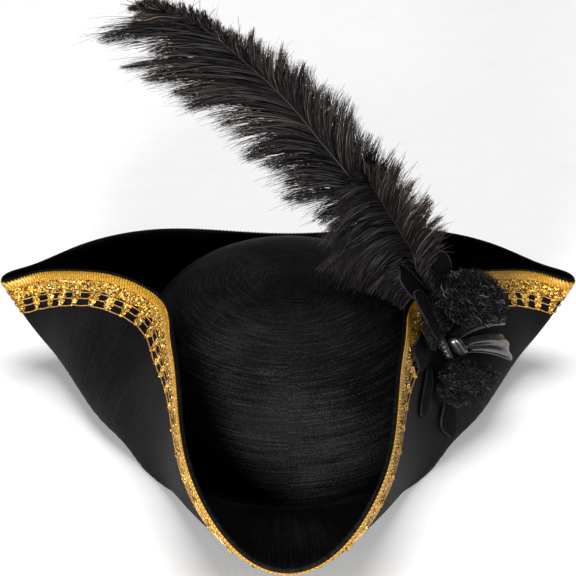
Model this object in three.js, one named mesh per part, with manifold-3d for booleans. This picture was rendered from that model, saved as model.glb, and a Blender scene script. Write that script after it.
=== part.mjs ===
// A felt tricorn hat: one moulded felt body with its brim turned up on three sides, a gold lace
// trim round the outer face of the brim, and on the right flap a rosette of stiff pads, net puffs
// and satin loops that holds two ostrich plumes.
// Millimetres, +Z up, the front point towards -Y. The hat stands on the flat ring round its head
// opening, and the origin is the middle of the whole object's foot.
import * as THREE from "three";
import Module from "manifold-3d";

const wasm = await Module();
wasm.setup();
const { Manifold } = wasm;

// Driving sizes
const head = { halfWidth: 83, halfLength: 95 };
const felt = { thickness: 2.4 };
const crown = { height: 90.5, squareness: 3.3 };
const brim = { width: 88, seatWidth: 4, turnRadius: 5, rings: 5 };
const lace = { width: 22, thickness: 1.0, cord: 2.2, windowHeight: 6.8, windowShare: 0.6 };
const seating = { gap: 0.4 };
const plume = { length: 220, thickness: 8, shaftRadius: 1.5, rootDepth: 26, lockDepth: 0.28 };
const rosette = { row: 26.7, height: 100, width: 60, padThickness: 1.6 };
const roll = { from: [-0.24, 0.24], to: [-0.31, 0.41], radius: 2.6, oval: 0.15, twist: 3 };
const bow = { side: -0.1, down: 0.36, knotWide: 0.12, knotTall: 0.13, knotDeep: 9, ribbon: 1.1 };

// The brim's half outline from the front point round the left side to the back. Each row is one
// section: base is the angle round the crown from the front, in degrees; out, along and rise
// place the brim's edge from the crown's foot, and kneeOut and kneeRise the corner where the
// section turns up, all as shares of the brim's width; tight is how close it comes to that corner.
const SECTIONS = [
  { base: 0, out: 1.01, along: 0, rise: 0.22, kneeOut: 0.66, kneeRise: 0.02, tight: 0.77 },
  { base: 9, out: 0.95, along: -0.09, rise: 0.27, kneeOut: 0.63, kneeRise: 0.02, tight: 0.78 },
  { base: 19, out: 0.86, along: -0.21, rise: 0.47, kneeOut: 0.47, kneeRise: 0.02, tight: 0.78 },
  { base: 30, out: 0.69, along: -0.34, rise: 0.71, kneeOut: 0.32, kneeRise: 0.02, tight: 0.81 },
  { base: 42, out: 0.39, along: -0.43, rise: 0.85, kneeOut: 0.17, kneeRise: 0.08, tight: 0.85 },
  { base: 54, out: 0.1, along: -0.39, rise: 0.98, kneeOut: 0.1, kneeRise: 0.15, tight: 0.88 },
  { base: 67, out: -0.09, along: -0.25, rise: 0.95, kneeOut: 0.18, kneeRise: 0.17, tight: 0.91 },
  { base: 80, out: -0.22, along: -0.06, rise: 0.96, kneeOut: 0.39, kneeRise: 0.1, tight: 0.92 },
  { base: 91, out: 0.12, along: 0.09, rise: 0.98, kneeOut: 0.53, kneeRise: 0.07, tight: 0.88 },
  { base: 99, out: 0.39, along: 0.08, rise: 0.89, kneeOut: 0.66, kneeRise: 0.05, tight: 0.84 },
  { base: 106, out: 0.84, along: 0.23, rise: 0.68, kneeOut: 0.77, kneeRise: 0.04, tight: 0.81 },
  { base: 112, out: 1.04, along: -0.15, rise: 0.62, kneeOut: 0.82, kneeRise: 0.02, tight: 0.79 },
  { base: 117, out: 1.07, along: -0.16, rise: 0.63, kneeOut: 0.77, kneeRise: 0.03, tight: 0.79 },
  { base: 123, out: 0.92, along: -0.2, rise: 0.62, kneeOut: 0.66, kneeRise: 0.04, tight: 0.79 },
  { base: 132, out: 0.7, along: -0.23, rise: 0.74, kneeOut: 0.54, kneeRise: 0.03, tight: 0.8 },
  { base: 143, out: 0.37, along: -0.25, rise: 0.84, kneeOut: 0.44, kneeRise: 0.02, tight: 0.8 },
  { base: 161, out: 0.13, along: -0.28, rise: 0.82, kneeOut: 0.38, kneeRise: 0.02, tight: 0.8 },
  { base: 180, out: -0.04, along: 0, rise: 0.75, kneeOut: 0.36, kneeRise: 0.02, tight: 0.8 },
];
const BACK_ROW = SECTIONS.length - 1;
const LOOP_ROWS = 2 * BACK_ROW;
const MITRE_LIMIT = 2;

// The mesh's columns in the left half: equal steps along the brim's edge from the front to the
// wing, close ones round the wing's sharp fold, and equal steps on to the back.
const columns = { frontToWing: 24, wingToBack: 11 };
const WING_FOLD = [10.4, 10.8, 11.15, 11.35, 11.5, 11.65, 11.85, 12.2, 12.6];

// The two plumes, which leave the flap's edge side by side. Each row is one station along the
// shaft after it leaves the flap: left, back and up are its place from there, and low and high
// the vane's widths on its two sides, all as shares of the long plume's length.
const PLUME_ROOTS = { long: 0.12, short: -0.05, aboveEdge: 0.08 };
const LONG_PLUME = [
  { left: 0.073, back: 0.02, up: 0.093, low: 0.015, high: 0.02 },
  { left: 0.134, back: 0.028, up: 0.167, low: 0.12, high: 0.1 },
  { left: 0.184, back: 0.041, up: 0.226, low: 0.17, high: 0.11 },
  { left: 0.233, back: 0.055, up: 0.285, low: 0.19, high: 0.12 },
  { left: 0.283, back: 0.068, up: 0.344, low: 0.19, high: 0.12 },
  { left: 0.332, back: 0.082, up: 0.404, low: 0.18, high: 0.1 },
  { left: 0.385, back: 0.094, up: 0.46, low: 0.2, high: 0.08 },
  { left: 0.449, back: 0.108, up: 0.517, low: 0.19, high: 0.06 },
  { left: 0.516, back: 0.121, up: 0.574, low: 0.19, high: 0.045 },
  { left: 0.588, back: 0.132, up: 0.624, low: 0.12, high: 0.03 },
  { left: 0.66, back: 0.138, up: 0.65, low: 0.04, high: 0.015 },
  { left: 0.706, back: 0.14, up: 0.657, low: 0.012, high: 0.004 },
];
const SHORT_PLUME = [
  { left: 0.013, back: 0.028, up: 0.063, low: 0.01, high: 0.005 },
  { left: 0.039, back: 0.008, up: 0.117, low: 0.05, high: 0.06 },
  { left: 0.067, back: -0.005, up: 0.173, low: 0.09, high: 0.1 },
  { left: 0.095, back: -0.011, up: 0.223, low: 0.1, high: 0.1 },
  { left: 0.12, back: -0.013, up: 0.267, low: 0.08, high: 0.07 },
  { left: 0.138, back: -0.015, up: 0.3, low: 0.02, high: 0.02 },
];

// The stiff pads of the rosette. from and to are the two ends of the pad's middle line: side is
// the place along the brim's edge towards the wing, in shares of the rosette's width, and down
// the distance below the edge, in shares of its height; wide is the pad's greatest width in shares
// of the rosette's width, and seat names what the pad lies on.
const PADS = [
  { name: "tall_pad", from: [0.1, 0.1], to: [0.25, -0.22], wide: 0.38, seat: "shaft" },
  { name: "left_pad", from: [-0.12, 0.1], to: [-0.35, -0.24], wide: 0.38, seat: "shaft" },
  { name: "front_pad", from: [-0.55, 0.2], to: [-0.37, -0.1], wide: 0.4, seat: "pad" },
  { name: "side_pad", from: [-0.45, 0.2], to: [-1.1, 0.13], wide: 0.33, seat: "lace" },
  { name: "low_pad", from: [-0.72, 0.29], to: [-1.38, 0.47], wide: 0.22, seat: "felt" },
  { name: "foot_pad", from: [-0.68, 0.57], to: [-0.94, 0.74], wide: 0.42, seat: "felt" },
];

// The puffs of gathered net, with their middles and sizes in the same shares. fall is how much
// further down a puff's wing end lies than its front end.
const PUFFS = [
  { name: "upper_puff", side: 0.3, down: 0.13, wide: 0.82, tall: 0.36, fall: 0.04, deep: 14 },
  { name: "lower_puff", side: -0.24, down: 0.53, wide: 0.96, tall: 0.2, fall: 0.24, deep: 10 },
];
const PUFF_SEATS = { upper_puff: "puff", lower_puff: "felt" };

// The bow's loops. side and down say where each loop turns back and fall how far its end sinks,
// in the same shares; width is the ribbon's width and rise how high the loop stands, in mm.
const LOOPS = [
  { side: 0.76, fall: 0.1, width: 12, rise: 8, down: 0.385 },
  { side: 0.84, fall: 0.02, width: 7, rise: 5, down: 0.31 },
];

// Smooth curves
// Uniform cubic B-spline weights, so that the brim has no kinks from row to row.
function splineWeights(t) {
  return [
    (1 - t) ** 3 / 6,
    (3 * t ** 3 - 6 * t ** 2 + 4) / 6,
    (-3 * t ** 3 + 3 * t ** 2 + 3 * t + 1) / 6,
    t ** 3 / 6,
  ];
}

// The crown's foot, in the middle of the felt
const midWidth = head.halfWidth + felt.thickness / 2;
const midLength = head.halfLength + felt.thickness / 2;
const seatHeight = felt.thickness / 2;
const seatInner = brim.turnRadius;
const seatOuter = brim.turnRadius + brim.seatWidth;

const footPoint = (angle) =>
  new THREE.Vector3(-midWidth * Math.sin(angle), -midLength * Math.cos(angle), 0);
const footOut = (angle) =>
  new THREE.Vector3(-Math.sin(angle) / midWidth, -Math.cos(angle) / midLength, 0).normalize();
const footAlong = (angle) =>
  new THREE.Vector3(-midWidth * Math.cos(angle), midLength * Math.sin(angle), 0).normalize();

// Row k of the whole loop: the right half mirrors the left.
function loopRow(k) {
  const turn = Math.floor(k / LOOP_ROWS);
  const i = k - turn * LOOP_ROWS;
  const isLeft = i <= BACK_ROW;
  const row = SECTIONS[isLeft ? i : LOOP_ROWS - i];
  const degrees = (isLeft ? row.base : 360 - row.base) + 360 * turn;
  const angle = THREE.MathUtils.degToRad(degrees);
  const out = footOut(angle);
  const along = footAlong(angle).multiplyScalar(isLeft ? 1 : -1);
  const edge = footPoint(angle)
    .addScaledVector(out, row.out * brim.width)
    .addScaledVector(along, row.along * brim.width)
    .setZ(row.rise * brim.width + seatHeight);
  const knee = footPoint(angle)
    .addScaledVector(out, row.kneeOut * brim.width)
    .setZ(row.kneeRise * brim.width + seatHeight);
  return { angle, edge, knee, tight: row.tight };
}

function sectionAt(s) {
  const i = Math.floor(s);
  const made = { angle: 0, tight: 0, edge: new THREE.Vector3(), knee: new THREE.Vector3() };
  splineWeights(s - i).forEach((weight, j) => {
    const row = loopRow(i - 1 + j);
    made.angle += weight * row.angle;
    made.tight += weight * row.tight;
    made.edge.addScaledVector(row.edge, weight);
    made.knee.addScaledVector(row.knee, weight);
  });
  return made;
}

// The brim's section from its edge in to the seat's outer border, with arc lengths.
function brimCurve(s) {
  const { angle, edge, knee, tight } = sectionAt(s);
  const seat = footPoint(angle).addScaledVector(footOut(angle), seatOuter).setZ(seatHeight);
  const curve = new THREE.CubicBezierCurve3(
    edge,
    edge.clone().lerp(knee, tight),
    seat.clone().lerp(knee, tight),
    seat,
  );
  curve.arcLengthDivisions = 60;
  return curve;
}

// A point of the felt's middle surface, `down` millimetres from the brim's edge along the
// section at s. Above the edge it goes on in a straight line.
function brimPoint(s, down) {
  const curve = brimCurve(s);
  if (down >= 0) return curve.getPointAt(Math.min(down / curve.getLength(), 1));
  return curve.getPoint(0).addScaledVector(curve.getTangent(0), down);
}

// The middle surface's normal, on the side that is the brim's upper face before it is turned up.
function brimNormal(s, down) {
  const step = 0.05;
  const reach = brimCurve(s).getLength();
  const near = Math.min(down, reach - 2 * step);
  const inward = brimPoint(s, near + step).sub(brimPoint(s, near - step));
  const around = brimPoint(s + step, near).sub(brimPoint(s - step, near));
  return inward.cross(around).normalize();
}

// Values of s at equal steps along the brim's edge, from one row to another.
function equalSteps(fromRow, toRow, count) {
  const samples = Math.round(40 * (toRow - fromRow));
  const walked = [0];
  const at = (i) => fromRow + ((toRow - fromRow) * i) / samples;
  for (let i = 1; i <= samples; i++) {
    const step = sectionAt(at(i)).edge.distanceTo(sectionAt(at(i - 1)).edge);
    walked.push(walked[i - 1] + step);
  }
  return Array.from({ length: count }, (_, k) => {
    const target = (walked[samples] * k) / count;
    const i = walked.findIndex((w) => w > target);
    const share = (target - walked[i - 1]) / (walked[i] - walked[i - 1]);
    return at(i - 1 + share);
  });
}

const halfColumns = [
  ...equalSteps(0, WING_FOLD.at(0), columns.frontToWing),
  ...WING_FOLD.slice(0, -1),
  ...equalSteps(WING_FOLD.at(-1), BACK_ROW, columns.wingToBack),
];
const COLUMN_ROWS = [
  ...halfColumns,
  BACK_ROW,
  ...halfColumns.slice(1).reverse().map((s) => LOOP_ROWS - s),
];

// Solids
function solid(name, points, triangles, material) {
  const geometry = new THREE.BufferGeometry();
  geometry.setAttribute(
    "position",
    new THREE.Float32BufferAttribute(points.flatMap((p) => [p.x, p.y, p.z]), 3),
  );
  const volume = triangles.reduce((sum, [a, b, c]) => {
    return sum + points[a].dot(points[b].clone().cross(points[c]));
  }, 0);
  const outward = volume > 0 ? triangles : triangles.map(([a, b, c]) => [a, c, b]);
  geometry.setIndex(outward.flat());
  geometry.computeVertexNormals();
  const mesh = new THREE.Mesh(geometry, material);
  mesh.name = name;
  return mesh;
}

// A solid through a row of closed rings that have the same number of points, with its two ends
// closed to a middle point.
function loft(name, rings, material) {
  const size = rings[0].length;
  const points = rings.flat();
  const triangles = [];
  for (let r = 0; r + 1 < rings.length; r++) {
    for (let i = 0; i < size; i++) {
      const a = r * size + i;
      const b = r * size + ((i + 1) % size);
      triangles.push([a, b, b + size], [a, b + size, a + size]);
    }
  }
  [0, rings.length - 1].forEach((r, end) => {
    const centre = new THREE.Vector3();
    rings[r].forEach((p) => centre.addScaledVector(p, 1 / size));
    const middle = points.push(centre) - 1;
    for (let i = 0; i < size; i++) {
      const a = r * size + i;
      const b = r * size + ((i + 1) % size);
      triangles.push(end ? [a, b, middle] : [b, a, middle]);
    }
  });
  return solid(name, points, triangles, material);
}

// A solid like a loft that closes on its own first ring.
function closedRing(name, rings, material) {
  const size = rings[0].length;
  const triangles = [];
  rings.forEach((_, r) => {
    const next = ((r + 1) % rings.length) * size;
    for (let i = 0; i < size; i++) {
      const a = r * size + i;
      const b = r * size + ((i + 1) % size);
      const d = next + i;
      const c = next + ((i + 1) % size);
      triangles.push([a, b, c], [a, c, d]);
    }
  });
  return solid(name, rings.flat(), triangles, material);
}

function toManifold(mesh) {
  const { position } = mesh.geometry.attributes;
  return new Manifold(
    new wasm.Mesh({
      numProp: 3,
      vertProperties: new Float32Array(position.array),
      triVerts: new Uint32Array(mesh.geometry.index.array),
    }),
  );
}

function toMesh(name, shape, material) {
  const { vertProperties, triVerts, numProp } = shape.getMesh();
  const points = [];
  for (let i = 0; i < vertProperties.length; i += numProp) {
    points.push(new THREE.Vector3().fromArray(vertProperties, i));
  }
  const triangles = [];
  for (let i = 0; i < triVerts.length; i += 3) {
    triangles.push([triVerts[i], triVerts[i + 1], triVerts[i + 2]]);
  }
  return solid(name, points, triangles, material);
}

// The felt body
// Each ring of the middle surface is a function of the column, and gives a point and a normal.
function crownRing(share) {
  const turn = (share * Math.PI) / 2;
  const inward = Math.cos(turn) ** (2 / crown.squareness);
  const height = Math.sin(turn) ** (2 / crown.squareness);
  const wall = crown.height - felt.thickness - seatInner;
  return COLUMN_ROWS.map((s) => {
    const { angle } = sectionAt(s);
    const slope = inward ** (crown.squareness - 1);
    const lift = (height ** (crown.squareness - 1) * midWidth) / wall;
    const normal = footOut(angle).multiplyScalar(slope).setZ(lift).normalize();
    const point = footPoint(angle).multiplyScalar(inward);
    point.z = seatHeight + seatInner + wall * height;
    return { point, normal };
  });
}

// The quarter turn from the crown's wall out to the flat seat.
function turnRing(share) {
  const turn = (share * Math.PI) / 2;
  return COLUMN_ROWS.map((s) => {
    const { angle } = sectionAt(s);
    const out = footOut(angle);
    const point = footPoint(angle).addScaledVector(out, seatInner * (1 - Math.cos(turn)));
    point.z = seatHeight + seatInner * (1 - Math.sin(turn));
    return { point, normal: out.multiplyScalar(Math.cos(turn)).setZ(Math.sin(turn)) };
  });
}

function seatRing() {
  return COLUMN_ROWS.map((s) => {
    const { angle } = sectionAt(s);
    const point = footPoint(angle).addScaledVector(footOut(angle), seatOuter).setZ(seatHeight);
    return { point, normal: new THREE.Vector3(0, 0, 1) };
  });
}

const windowTop = lace.width - lace.cord - lace.windowHeight;
const windowFoot = lace.width - lace.cord;
const laceStops = [0, windowTop, windowFoot, lace.width];

const brimRingAt = (down) =>
  COLUMN_ROWS.map((s) => ({ point: brimPoint(s, down), normal: brimNormal(s, down) }));

function brimRingBetween(share) {
  return COLUMN_ROWS.map((s) => {
    const down = THREE.MathUtils.lerp(lace.width, brimCurve(s).getLength(), share);
    return { point: brimPoint(s, down), normal: brimNormal(s, down) };
  });
}

const crownShares = [0.97, 0.85, 0.72, 0.59, 0.46, 0.33, 0.17, 0.0];
const laceRings = laceStops.map(brimRingAt);
const feltRings = [
  ...crownShares.map(crownRing),
  ...[0.5, 1].map(turnRing),
  seatRing(),
  ...Array.from({ length: brim.rings - 1 }, (_, i) => brimRingBetween(1 - (i + 1) / brim.rings)),
  ...laceRings.slice().reverse(),
];

// Where the brim is folded sharply, the corner goes out further, so that the walls stay as thick.
function offset(ring, distance) {
  const size = ring.length;
  return ring.map(({ point, normal }, i) => {
    const before = point.clone().sub(ring[(i + size - 1) % size].point);
    const after = ring[(i + 1) % size].point.clone().sub(point);
    const mitre = Math.min(1 / Math.cos(before.angleTo(after) / 2), MITRE_LIMIT);
    return point.clone().addScaledVector(normal, distance * mitre);
  });
}

const fabricMaterial = (color) =>
  new THREE.MeshStandardMaterial({ color, roughness: 0.95, metalness: 0 });
const half = felt.thickness / 2;
const feltBody = loft(
  "felt_body",
  [
    ...feltRings.map((ring) => offset(ring, half)),
    ...feltRings.slice().reverse().map((ring) => offset(ring, -half)),
  ],
  fabricMaterial(0x26242a),
);

// The gold lace
// It lies on the brim's outer face. The net row has one window in each wide column, cut through.
function laceMesh() {
  const near = half + seating.gap;
  const far = near + lace.thickness;
  const faces = [near, far].map((distance) => laceRings.map((ring) => offset(ring, -distance)));
  const band = COLUMN_ROWS.map((_, i) => [
    ...faces[0].map((row) => row[i]),
    ...faces[1].map((row) => row[i]).reverse(),
  ]);
  const isWide = (i) => {
    const next = laceRings[0][(i + 1) % COLUMN_ROWS.length].point;
    return laceRings[0][i].point.distanceTo(next) > lace.windowHeight;
  };
  const wideColumns = COLUMN_ROWS.map((_, i) => i).filter(isWide);
  const cutters = wideColumns.map((i) => {
    const next = (i + 1) % COLUMN_ROWS.length;
    const corners = [1, 2].flatMap((stop) => {
      return [near - lace.thickness, far + lace.thickness].flatMap((distance) => {
        const row = offset(laceRings[stop], -distance);
        const spare = (1 - lace.windowShare) / 2;
        return [spare, 1 - spare].map((share) => row[i].clone().lerp(row[next], share));
      });
    });
    return Manifold.hull(corners.map((p) => p.toArray()));
  });
  const ribbon = toManifold(closedRing("ribbon", band, null));
  const pierced = ribbon.subtract(Manifold.union(cutters)).simplify(0.02);
  return toMesh("gold_lace", pierced, fabricMaterial(0xe0a83a));
}

// The rosette's place on the right flap
// `side` and `down` are shares of the rosette's sizes, and `height` is millimetres off the felt.
const rowPitch = sectionAt(rosette.row - 0.5).edge.distanceTo(sectionAt(rosette.row + 0.5).edge);

function onFlap(side, down, height) {
  const s = rosette.row - (side * rosette.width) / rowPitch;
  const depth = down * rosette.height;
  const normal = brimNormal(s, Math.max(depth, 1));
  return brimPoint(s, depth).addScaledVector(normal, -half - height);
}

const laceTop = seating.gap + lace.thickness;
const shaftLift = laceTop + 1.5 * seating.gap + plume.shaftRadius;
const overShaft = shaftLift + 1.15 * plume.shaftRadius + seating.gap;
const SEATS = {
  felt: seating.gap,
  lace: laceTop + 1.5 * seating.gap,
  shaft: overShaft,
  puff: overShaft + 0.9 * rosette.padThickness,
  pad: overShaft + 1.8 * rosette.padThickness + seating.gap,
};

const featherMaterial = fabricMaterial(0x1d1a1c);
const netMaterial = fabricMaterial(0x17171c);
const satinMaterial = new THREE.MeshStandardMaterial({
  color: 0x16151b,
  roughness: 0.3,
  metalness: 0,
});

// The plumes
// Each is a flat leaf round the shaft. Between its stations the edge goes in and out as locks.
function plumeMesh(name, rootSide, stations) {
  const root = onFlap(rootSide, plume.rootDepth / rosette.height, shaftLift);
  const edge = onFlap(rootSide, PLUME_ROOTS.aboveEdge, shaftLift);
  const leave = onFlap(rootSide, -PLUME_ROOTS.aboveEdge, shaftLift);
  const places = stations.map(({ left, back, up }) => {
    return new THREE.Vector3(-left, back, up).multiplyScalar(plume.length).add(leave);
  });
  const shaft = new THREE.CatmullRomCurve3([root, edge, leave, ...places]);
  const widths = [0, 0, 0, ...stations.map((row) => row.low)];
  const heights = [0, 0, 0, ...stations.map((row) => row.high)];
  const between = (list, t) => {
    const i = Math.min(Math.floor(t), list.length - 2);
    return THREE.MathUtils.lerp(list[i], list[i + 1], t - i);
  };
  const perStation = 3;
  const last = widths.length - 1;
  const count = last * perStation;
  const towardsFront = new THREE.Vector3(0, -1, 0);
  const rings = Array.from({ length: count + 1 }, (_, k) => {
    const t = k / perStation;
    const tangent = shaft.getTangent(k / count);
    const across = tangent.clone().cross(towardsFront).normalize();
    const through = across.clone().cross(tangent).normalize();
    const lock = 1 - plume.lockDepth * (k % perStation === 0 ? 0 : k % 2);
    const low = plume.shaftRadius + between(widths, t) * plume.length * lock;
    const high = plume.shaftRadius + between(heights, t) * plume.length * lock;
    const thick = Math.min(plume.thickness / 2, plume.shaftRadius + (low - plume.shaftRadius) / 8);
    const [shoulder, drop] = [0.6, 0.6];
    const profile = [
      [high, 0],
      [high * shoulder, thick * drop],
      [0, thick],
      [-low * shoulder, thick * drop],
      [-low, 0],
      [-low * shoulder, -thick * drop],
      [0, -thick],
      [high * shoulder, -thick * drop],
    ];
    const middle = shaft.getPoint(k / count);
    return profile.map(([a, b]) => {
      return middle.clone().addScaledVector(across, a).addScaledVector(through, b);
    });
  });
  return loft(name, rings, featherMaterial);
}

// The stiff pads
// Each is a thin rounded leaf, a little hollow towards the felt, and wider at its outer end.
const padOutline = (t) => Math.sqrt(1 - (2 * t - 1) ** 4) * (0.55 + 0.45 * t);

function padMesh({ name, from, to, wide, seat }) {
  const stations = 11;
  const cupShare = 0.08;
  const direction = new THREE.Vector2(
    (to[0] - from[0]) * rosette.width,
    (to[1] - from[1]) * rosette.height,
  ).normalize();
  const rings = Array.from({ length: stations }, (_, k) => {
    const t = 0.5 - 0.49 * Math.cos((Math.PI * k) / (stations - 1));
    const side = THREE.MathUtils.lerp(from[0], to[0], t);
    const down = THREE.MathUtils.lerp(from[1], to[1], t);
    const reach = (wide * rosette.width * padOutline(t)) / 2;
    const cup = cupShare * reach;
    const underside = [
      [-1, 0],
      [-0.5, cup],
      [0, 1.4 * cup],
      [0.5, cup],
      [1, 0],
    ];
    const top = underside.map(([a, rise]) => [a, rise + rosette.padThickness]).reverse();
    return [...underside, ...top].map(([a, rise]) => {
      return onFlap(
        side + (a * reach * direction.y) / rosette.width,
        down - (a * reach * direction.x) / rosette.height,
        SEATS[seat] + rise,
      );
    });
  });
  return loft(name, rings, featherMaterial);
}

// Lumpy cushions of gathered net
function puffMesh({ name, side, down, wide, tall, fall, deep }) {
  const latitudes = 8;
  const longitudes = 14;
  const lumps = 3;
  const lumpHeight = 0.06;
  const rings = Array.from({ length: latitudes }, (_, k) => {
    const polar = (Math.PI * (k + 0.6)) / (latitudes + 0.2);
    return Array.from({ length: longitudes }, (_, i) => {
      const round = (2 * Math.PI * i) / longitudes;
      const lump = 1 + lumpHeight * Math.cos(lumps * round + k) * Math.sin(2 * polar);
      const x = Math.sin(polar) * Math.cos(round) * lump;
      const y = Math.cos(polar) * lump;
      const z = Math.sin(polar) * Math.sin(round) * lump;
      return onFlap(
        side + (x * wide) / 2,
        down + (y * tall + x * fall) / 2,
        SEATS[PUFF_SEATS[name]] + ((1 + z) * deep) / 2,
      );
    });
  });
  return loft(name, rings, netMaterial);
}

// The twisted roll of glitter net
function rollMesh() {
  const count = 12;
  const corners = 8;
  const rings = Array.from({ length: count + 1 }, (_, k) => {
    const t = k / count;
    const taper = Math.sqrt(1 - (t * 1.7 - 0.85) ** 4);
    return Array.from({ length: corners }, (_, i) => {
      const round = (2 * Math.PI * i) / corners + t * roll.twist;
      const swell = roll.radius * taper * (1 - roll.oval + roll.oval * Math.cos(2 * round));
      const side = THREE.MathUtils.lerp(roll.from[0], roll.to[0], t);
      const down = THREE.MathUtils.lerp(roll.from[1], roll.to[1], t);
      return onFlap(
        side + (swell * Math.cos(round)) / rosette.width,
        down,
        SEATS.felt + 0.75 * roll.radius + swell * Math.sin(round),
      );
    });
  });
  return loft("net_roll", rings, netMaterial);
}

// The satin bow
// Each loop goes out along the flap, turns over and comes back above itself to the knot.
function loopMesh({ side, fall, width, rise, down }) {
  const count = 14;
  const gathered = 0.45;
  const thin = bow.ribbon / 2;
  const start = SEATS.felt + 2;
  const rings = Array.from({ length: count + 1 }, (_, k) => {
    const turn = (Math.PI * k) / count;
    const reach = Math.sin(turn) ** 0.8;
    const lift = start + (rise * (1 - Math.cos(turn))) / 2;
    const wide = (width * (gathered + (1 - gathered) * reach)) / 2 / rosette.height;
    const foot = down + fall * reach;
    return [
      [-wide, -thin],
      [wide, -thin],
      [wide, thin],
      [-wide, thin],
    ].map(([a, b]) => {
      const outward = side * reach + (b * Math.sin(turn)) / rosette.width;
      return onFlap(bow.side + outward, foot + a, lift - b * Math.cos(turn));
    });
  });
  return loft("loop", rings, satinMaterial);
}

function bowMesh() {
  const knotCorners = [-0.75, 0.25].flatMap((a) => {
    return [-0.5, 0.5].flatMap((b) => {
      return [0, 1].map((c) => {
        return onFlap(
          bow.side + a * bow.knotWide,
          bow.down + b * bow.knotTall,
          SEATS.felt + 0.2 + c * bow.knotDeep,
        );
      });
    });
  });
  const knot = Manifold.hull(knotCorners.map((p) => p.toArray()));
  const loops = LOOPS.map((loop) => toManifold(loopMesh(loop)));
  return toMesh("satin_bow", Manifold.union([knot, ...loops]), satinMaterial);
}

const hat = new THREE.Group();
hat.name = "tricorn_hat";
hat.add(
  feltBody,
  laceMesh(),
  plumeMesh("long_plume", PLUME_ROOTS.long, LONG_PLUME),
  plumeMesh("short_plume", PLUME_ROOTS.short, SHORT_PLUME),
  ...PADS.map(padMesh),
  ...PUFFS.map(puffMesh),
  rollMesh(),
  bowMesh(),
);

const box = new THREE.Box3().setFromObject(hat);
const centre = box.getCenter(new THREE.Vector3());
hat.children.forEach((mesh) => mesh.geometry.translate(-centre.x, -centre.y, -box.min.z));
export default hat;
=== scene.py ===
"""Looks of a black felt tricorn hat with a gold lace trim, a rosette and two ostrich plumes.

Everything is computed in millimetres about the crown's axis and written in metres in the CAD part's
frame: +Z up, the front point towards -Y. Each part of the hat is a class that builds its meshes as
whole numpy arrays and gives them materials made of nodes.
"""

import logging
import math
from dataclasses import dataclass
from enum import Enum

import bpy
import numpy as np
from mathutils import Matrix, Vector


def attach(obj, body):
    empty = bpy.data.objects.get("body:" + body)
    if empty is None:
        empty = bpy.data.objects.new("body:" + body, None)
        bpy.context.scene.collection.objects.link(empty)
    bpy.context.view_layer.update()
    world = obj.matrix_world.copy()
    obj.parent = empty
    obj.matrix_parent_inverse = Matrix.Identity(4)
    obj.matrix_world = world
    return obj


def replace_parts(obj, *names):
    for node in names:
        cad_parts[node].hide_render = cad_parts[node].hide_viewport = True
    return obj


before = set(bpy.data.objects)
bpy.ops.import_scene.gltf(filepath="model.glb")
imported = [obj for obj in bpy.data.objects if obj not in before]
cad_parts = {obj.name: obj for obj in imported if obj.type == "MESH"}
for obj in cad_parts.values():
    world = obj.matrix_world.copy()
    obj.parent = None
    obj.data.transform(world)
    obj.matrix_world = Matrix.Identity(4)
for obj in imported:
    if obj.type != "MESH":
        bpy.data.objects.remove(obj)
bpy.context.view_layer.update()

MM = 0.001
Array = np.ndarray
LOG = logging.getLogger("tricorn")


# Sizes


@dataclass(frozen=True)
class HatSizes:
    """The felt's sizes in millimetres, the same as in the CAD part."""

    half_width: float = 83.0
    half_length: float = 95.0
    felt: float = 2.4
    crown_height: float = 90.5
    squareness: float = 3.3
    brim: float = 88.0
    seat_width: float = 4.0
    turn_radius: float = 5.0
    axis_y: float = 34.2

    @property
    def half(self) -> float:
        """Half of the felt's thickness."""
        return self.felt / 2


@dataclass(frozen=True)
class RosetteSizes:
    """The rosette's place on the right flap and its sizes in millimetres."""

    row: float = 26.7
    height: float = 100.0
    width: float = 60.0


# The brim's half outline from the front point round the left side to the back. base is the angle
# round the crown in degrees; out, along and rise place the edge, and knee_out and knee_rise the
# corner of the section, as shares of the brim's width; tight is how near the section comes to it.
SECTION_COLUMNS = ("base", "out", "along", "rise", "knee_out", "knee_rise", "tight")
SECTIONS = np.array(
    [
        (0, 1.01, 0, 0.22, 0.66, 0.02, 0.77),
        (9, 0.95, -0.09, 0.27, 0.63, 0.02, 0.78),
        (19, 0.86, -0.21, 0.47, 0.47, 0.02, 0.78),
        (30, 0.69, -0.34, 0.71, 0.32, 0.02, 0.81),
        (42, 0.39, -0.43, 0.85, 0.17, 0.08, 0.85),
        (54, 0.1, -0.39, 0.98, 0.1, 0.15, 0.88),
        (67, -0.09, -0.25, 0.95, 0.18, 0.17, 0.91),
        (80, -0.22, -0.06, 0.96, 0.39, 0.1, 0.92),
        (91, 0.12, 0.09, 0.98, 0.53, 0.07, 0.88),
        (99, 0.39, 0.08, 0.89, 0.66, 0.05, 0.84),
        (106, 0.84, 0.23, 0.68, 0.77, 0.04, 0.81),
        (112, 1.04, -0.15, 0.62, 0.82, 0.02, 0.79),
        (117, 1.07, -0.16, 0.63, 0.77, 0.03, 0.79),
        (123, 0.92, -0.2, 0.62, 0.66, 0.04, 0.79),
        (132, 0.7, -0.23, 0.74, 0.54, 0.03, 0.8),
        (143, 0.37, -0.25, 0.84, 0.44, 0.02, 0.8),
        (161, 0.13, -0.28, 0.82, 0.38, 0.02, 0.8),
        (180, -0.04, 0, 0.75, 0.36, 0.02, 0.8),
    ]
)
BACK_ROW = len(SECTIONS) - 1
LOOP_ROWS = 2 * BACK_ROW


# Small numpy helpers


def unit(v: Array) -> Array:
    """Vectors scaled to length one.

    Args:
        v: Vectors in the last axis.

    Returns:
        The unit vectors, with zero vectors left as they are.
    """
    length = np.linalg.norm(v, axis=-1, keepdims=True)
    return v / np.where(length < 1e-9, 1.0, length)


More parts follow.
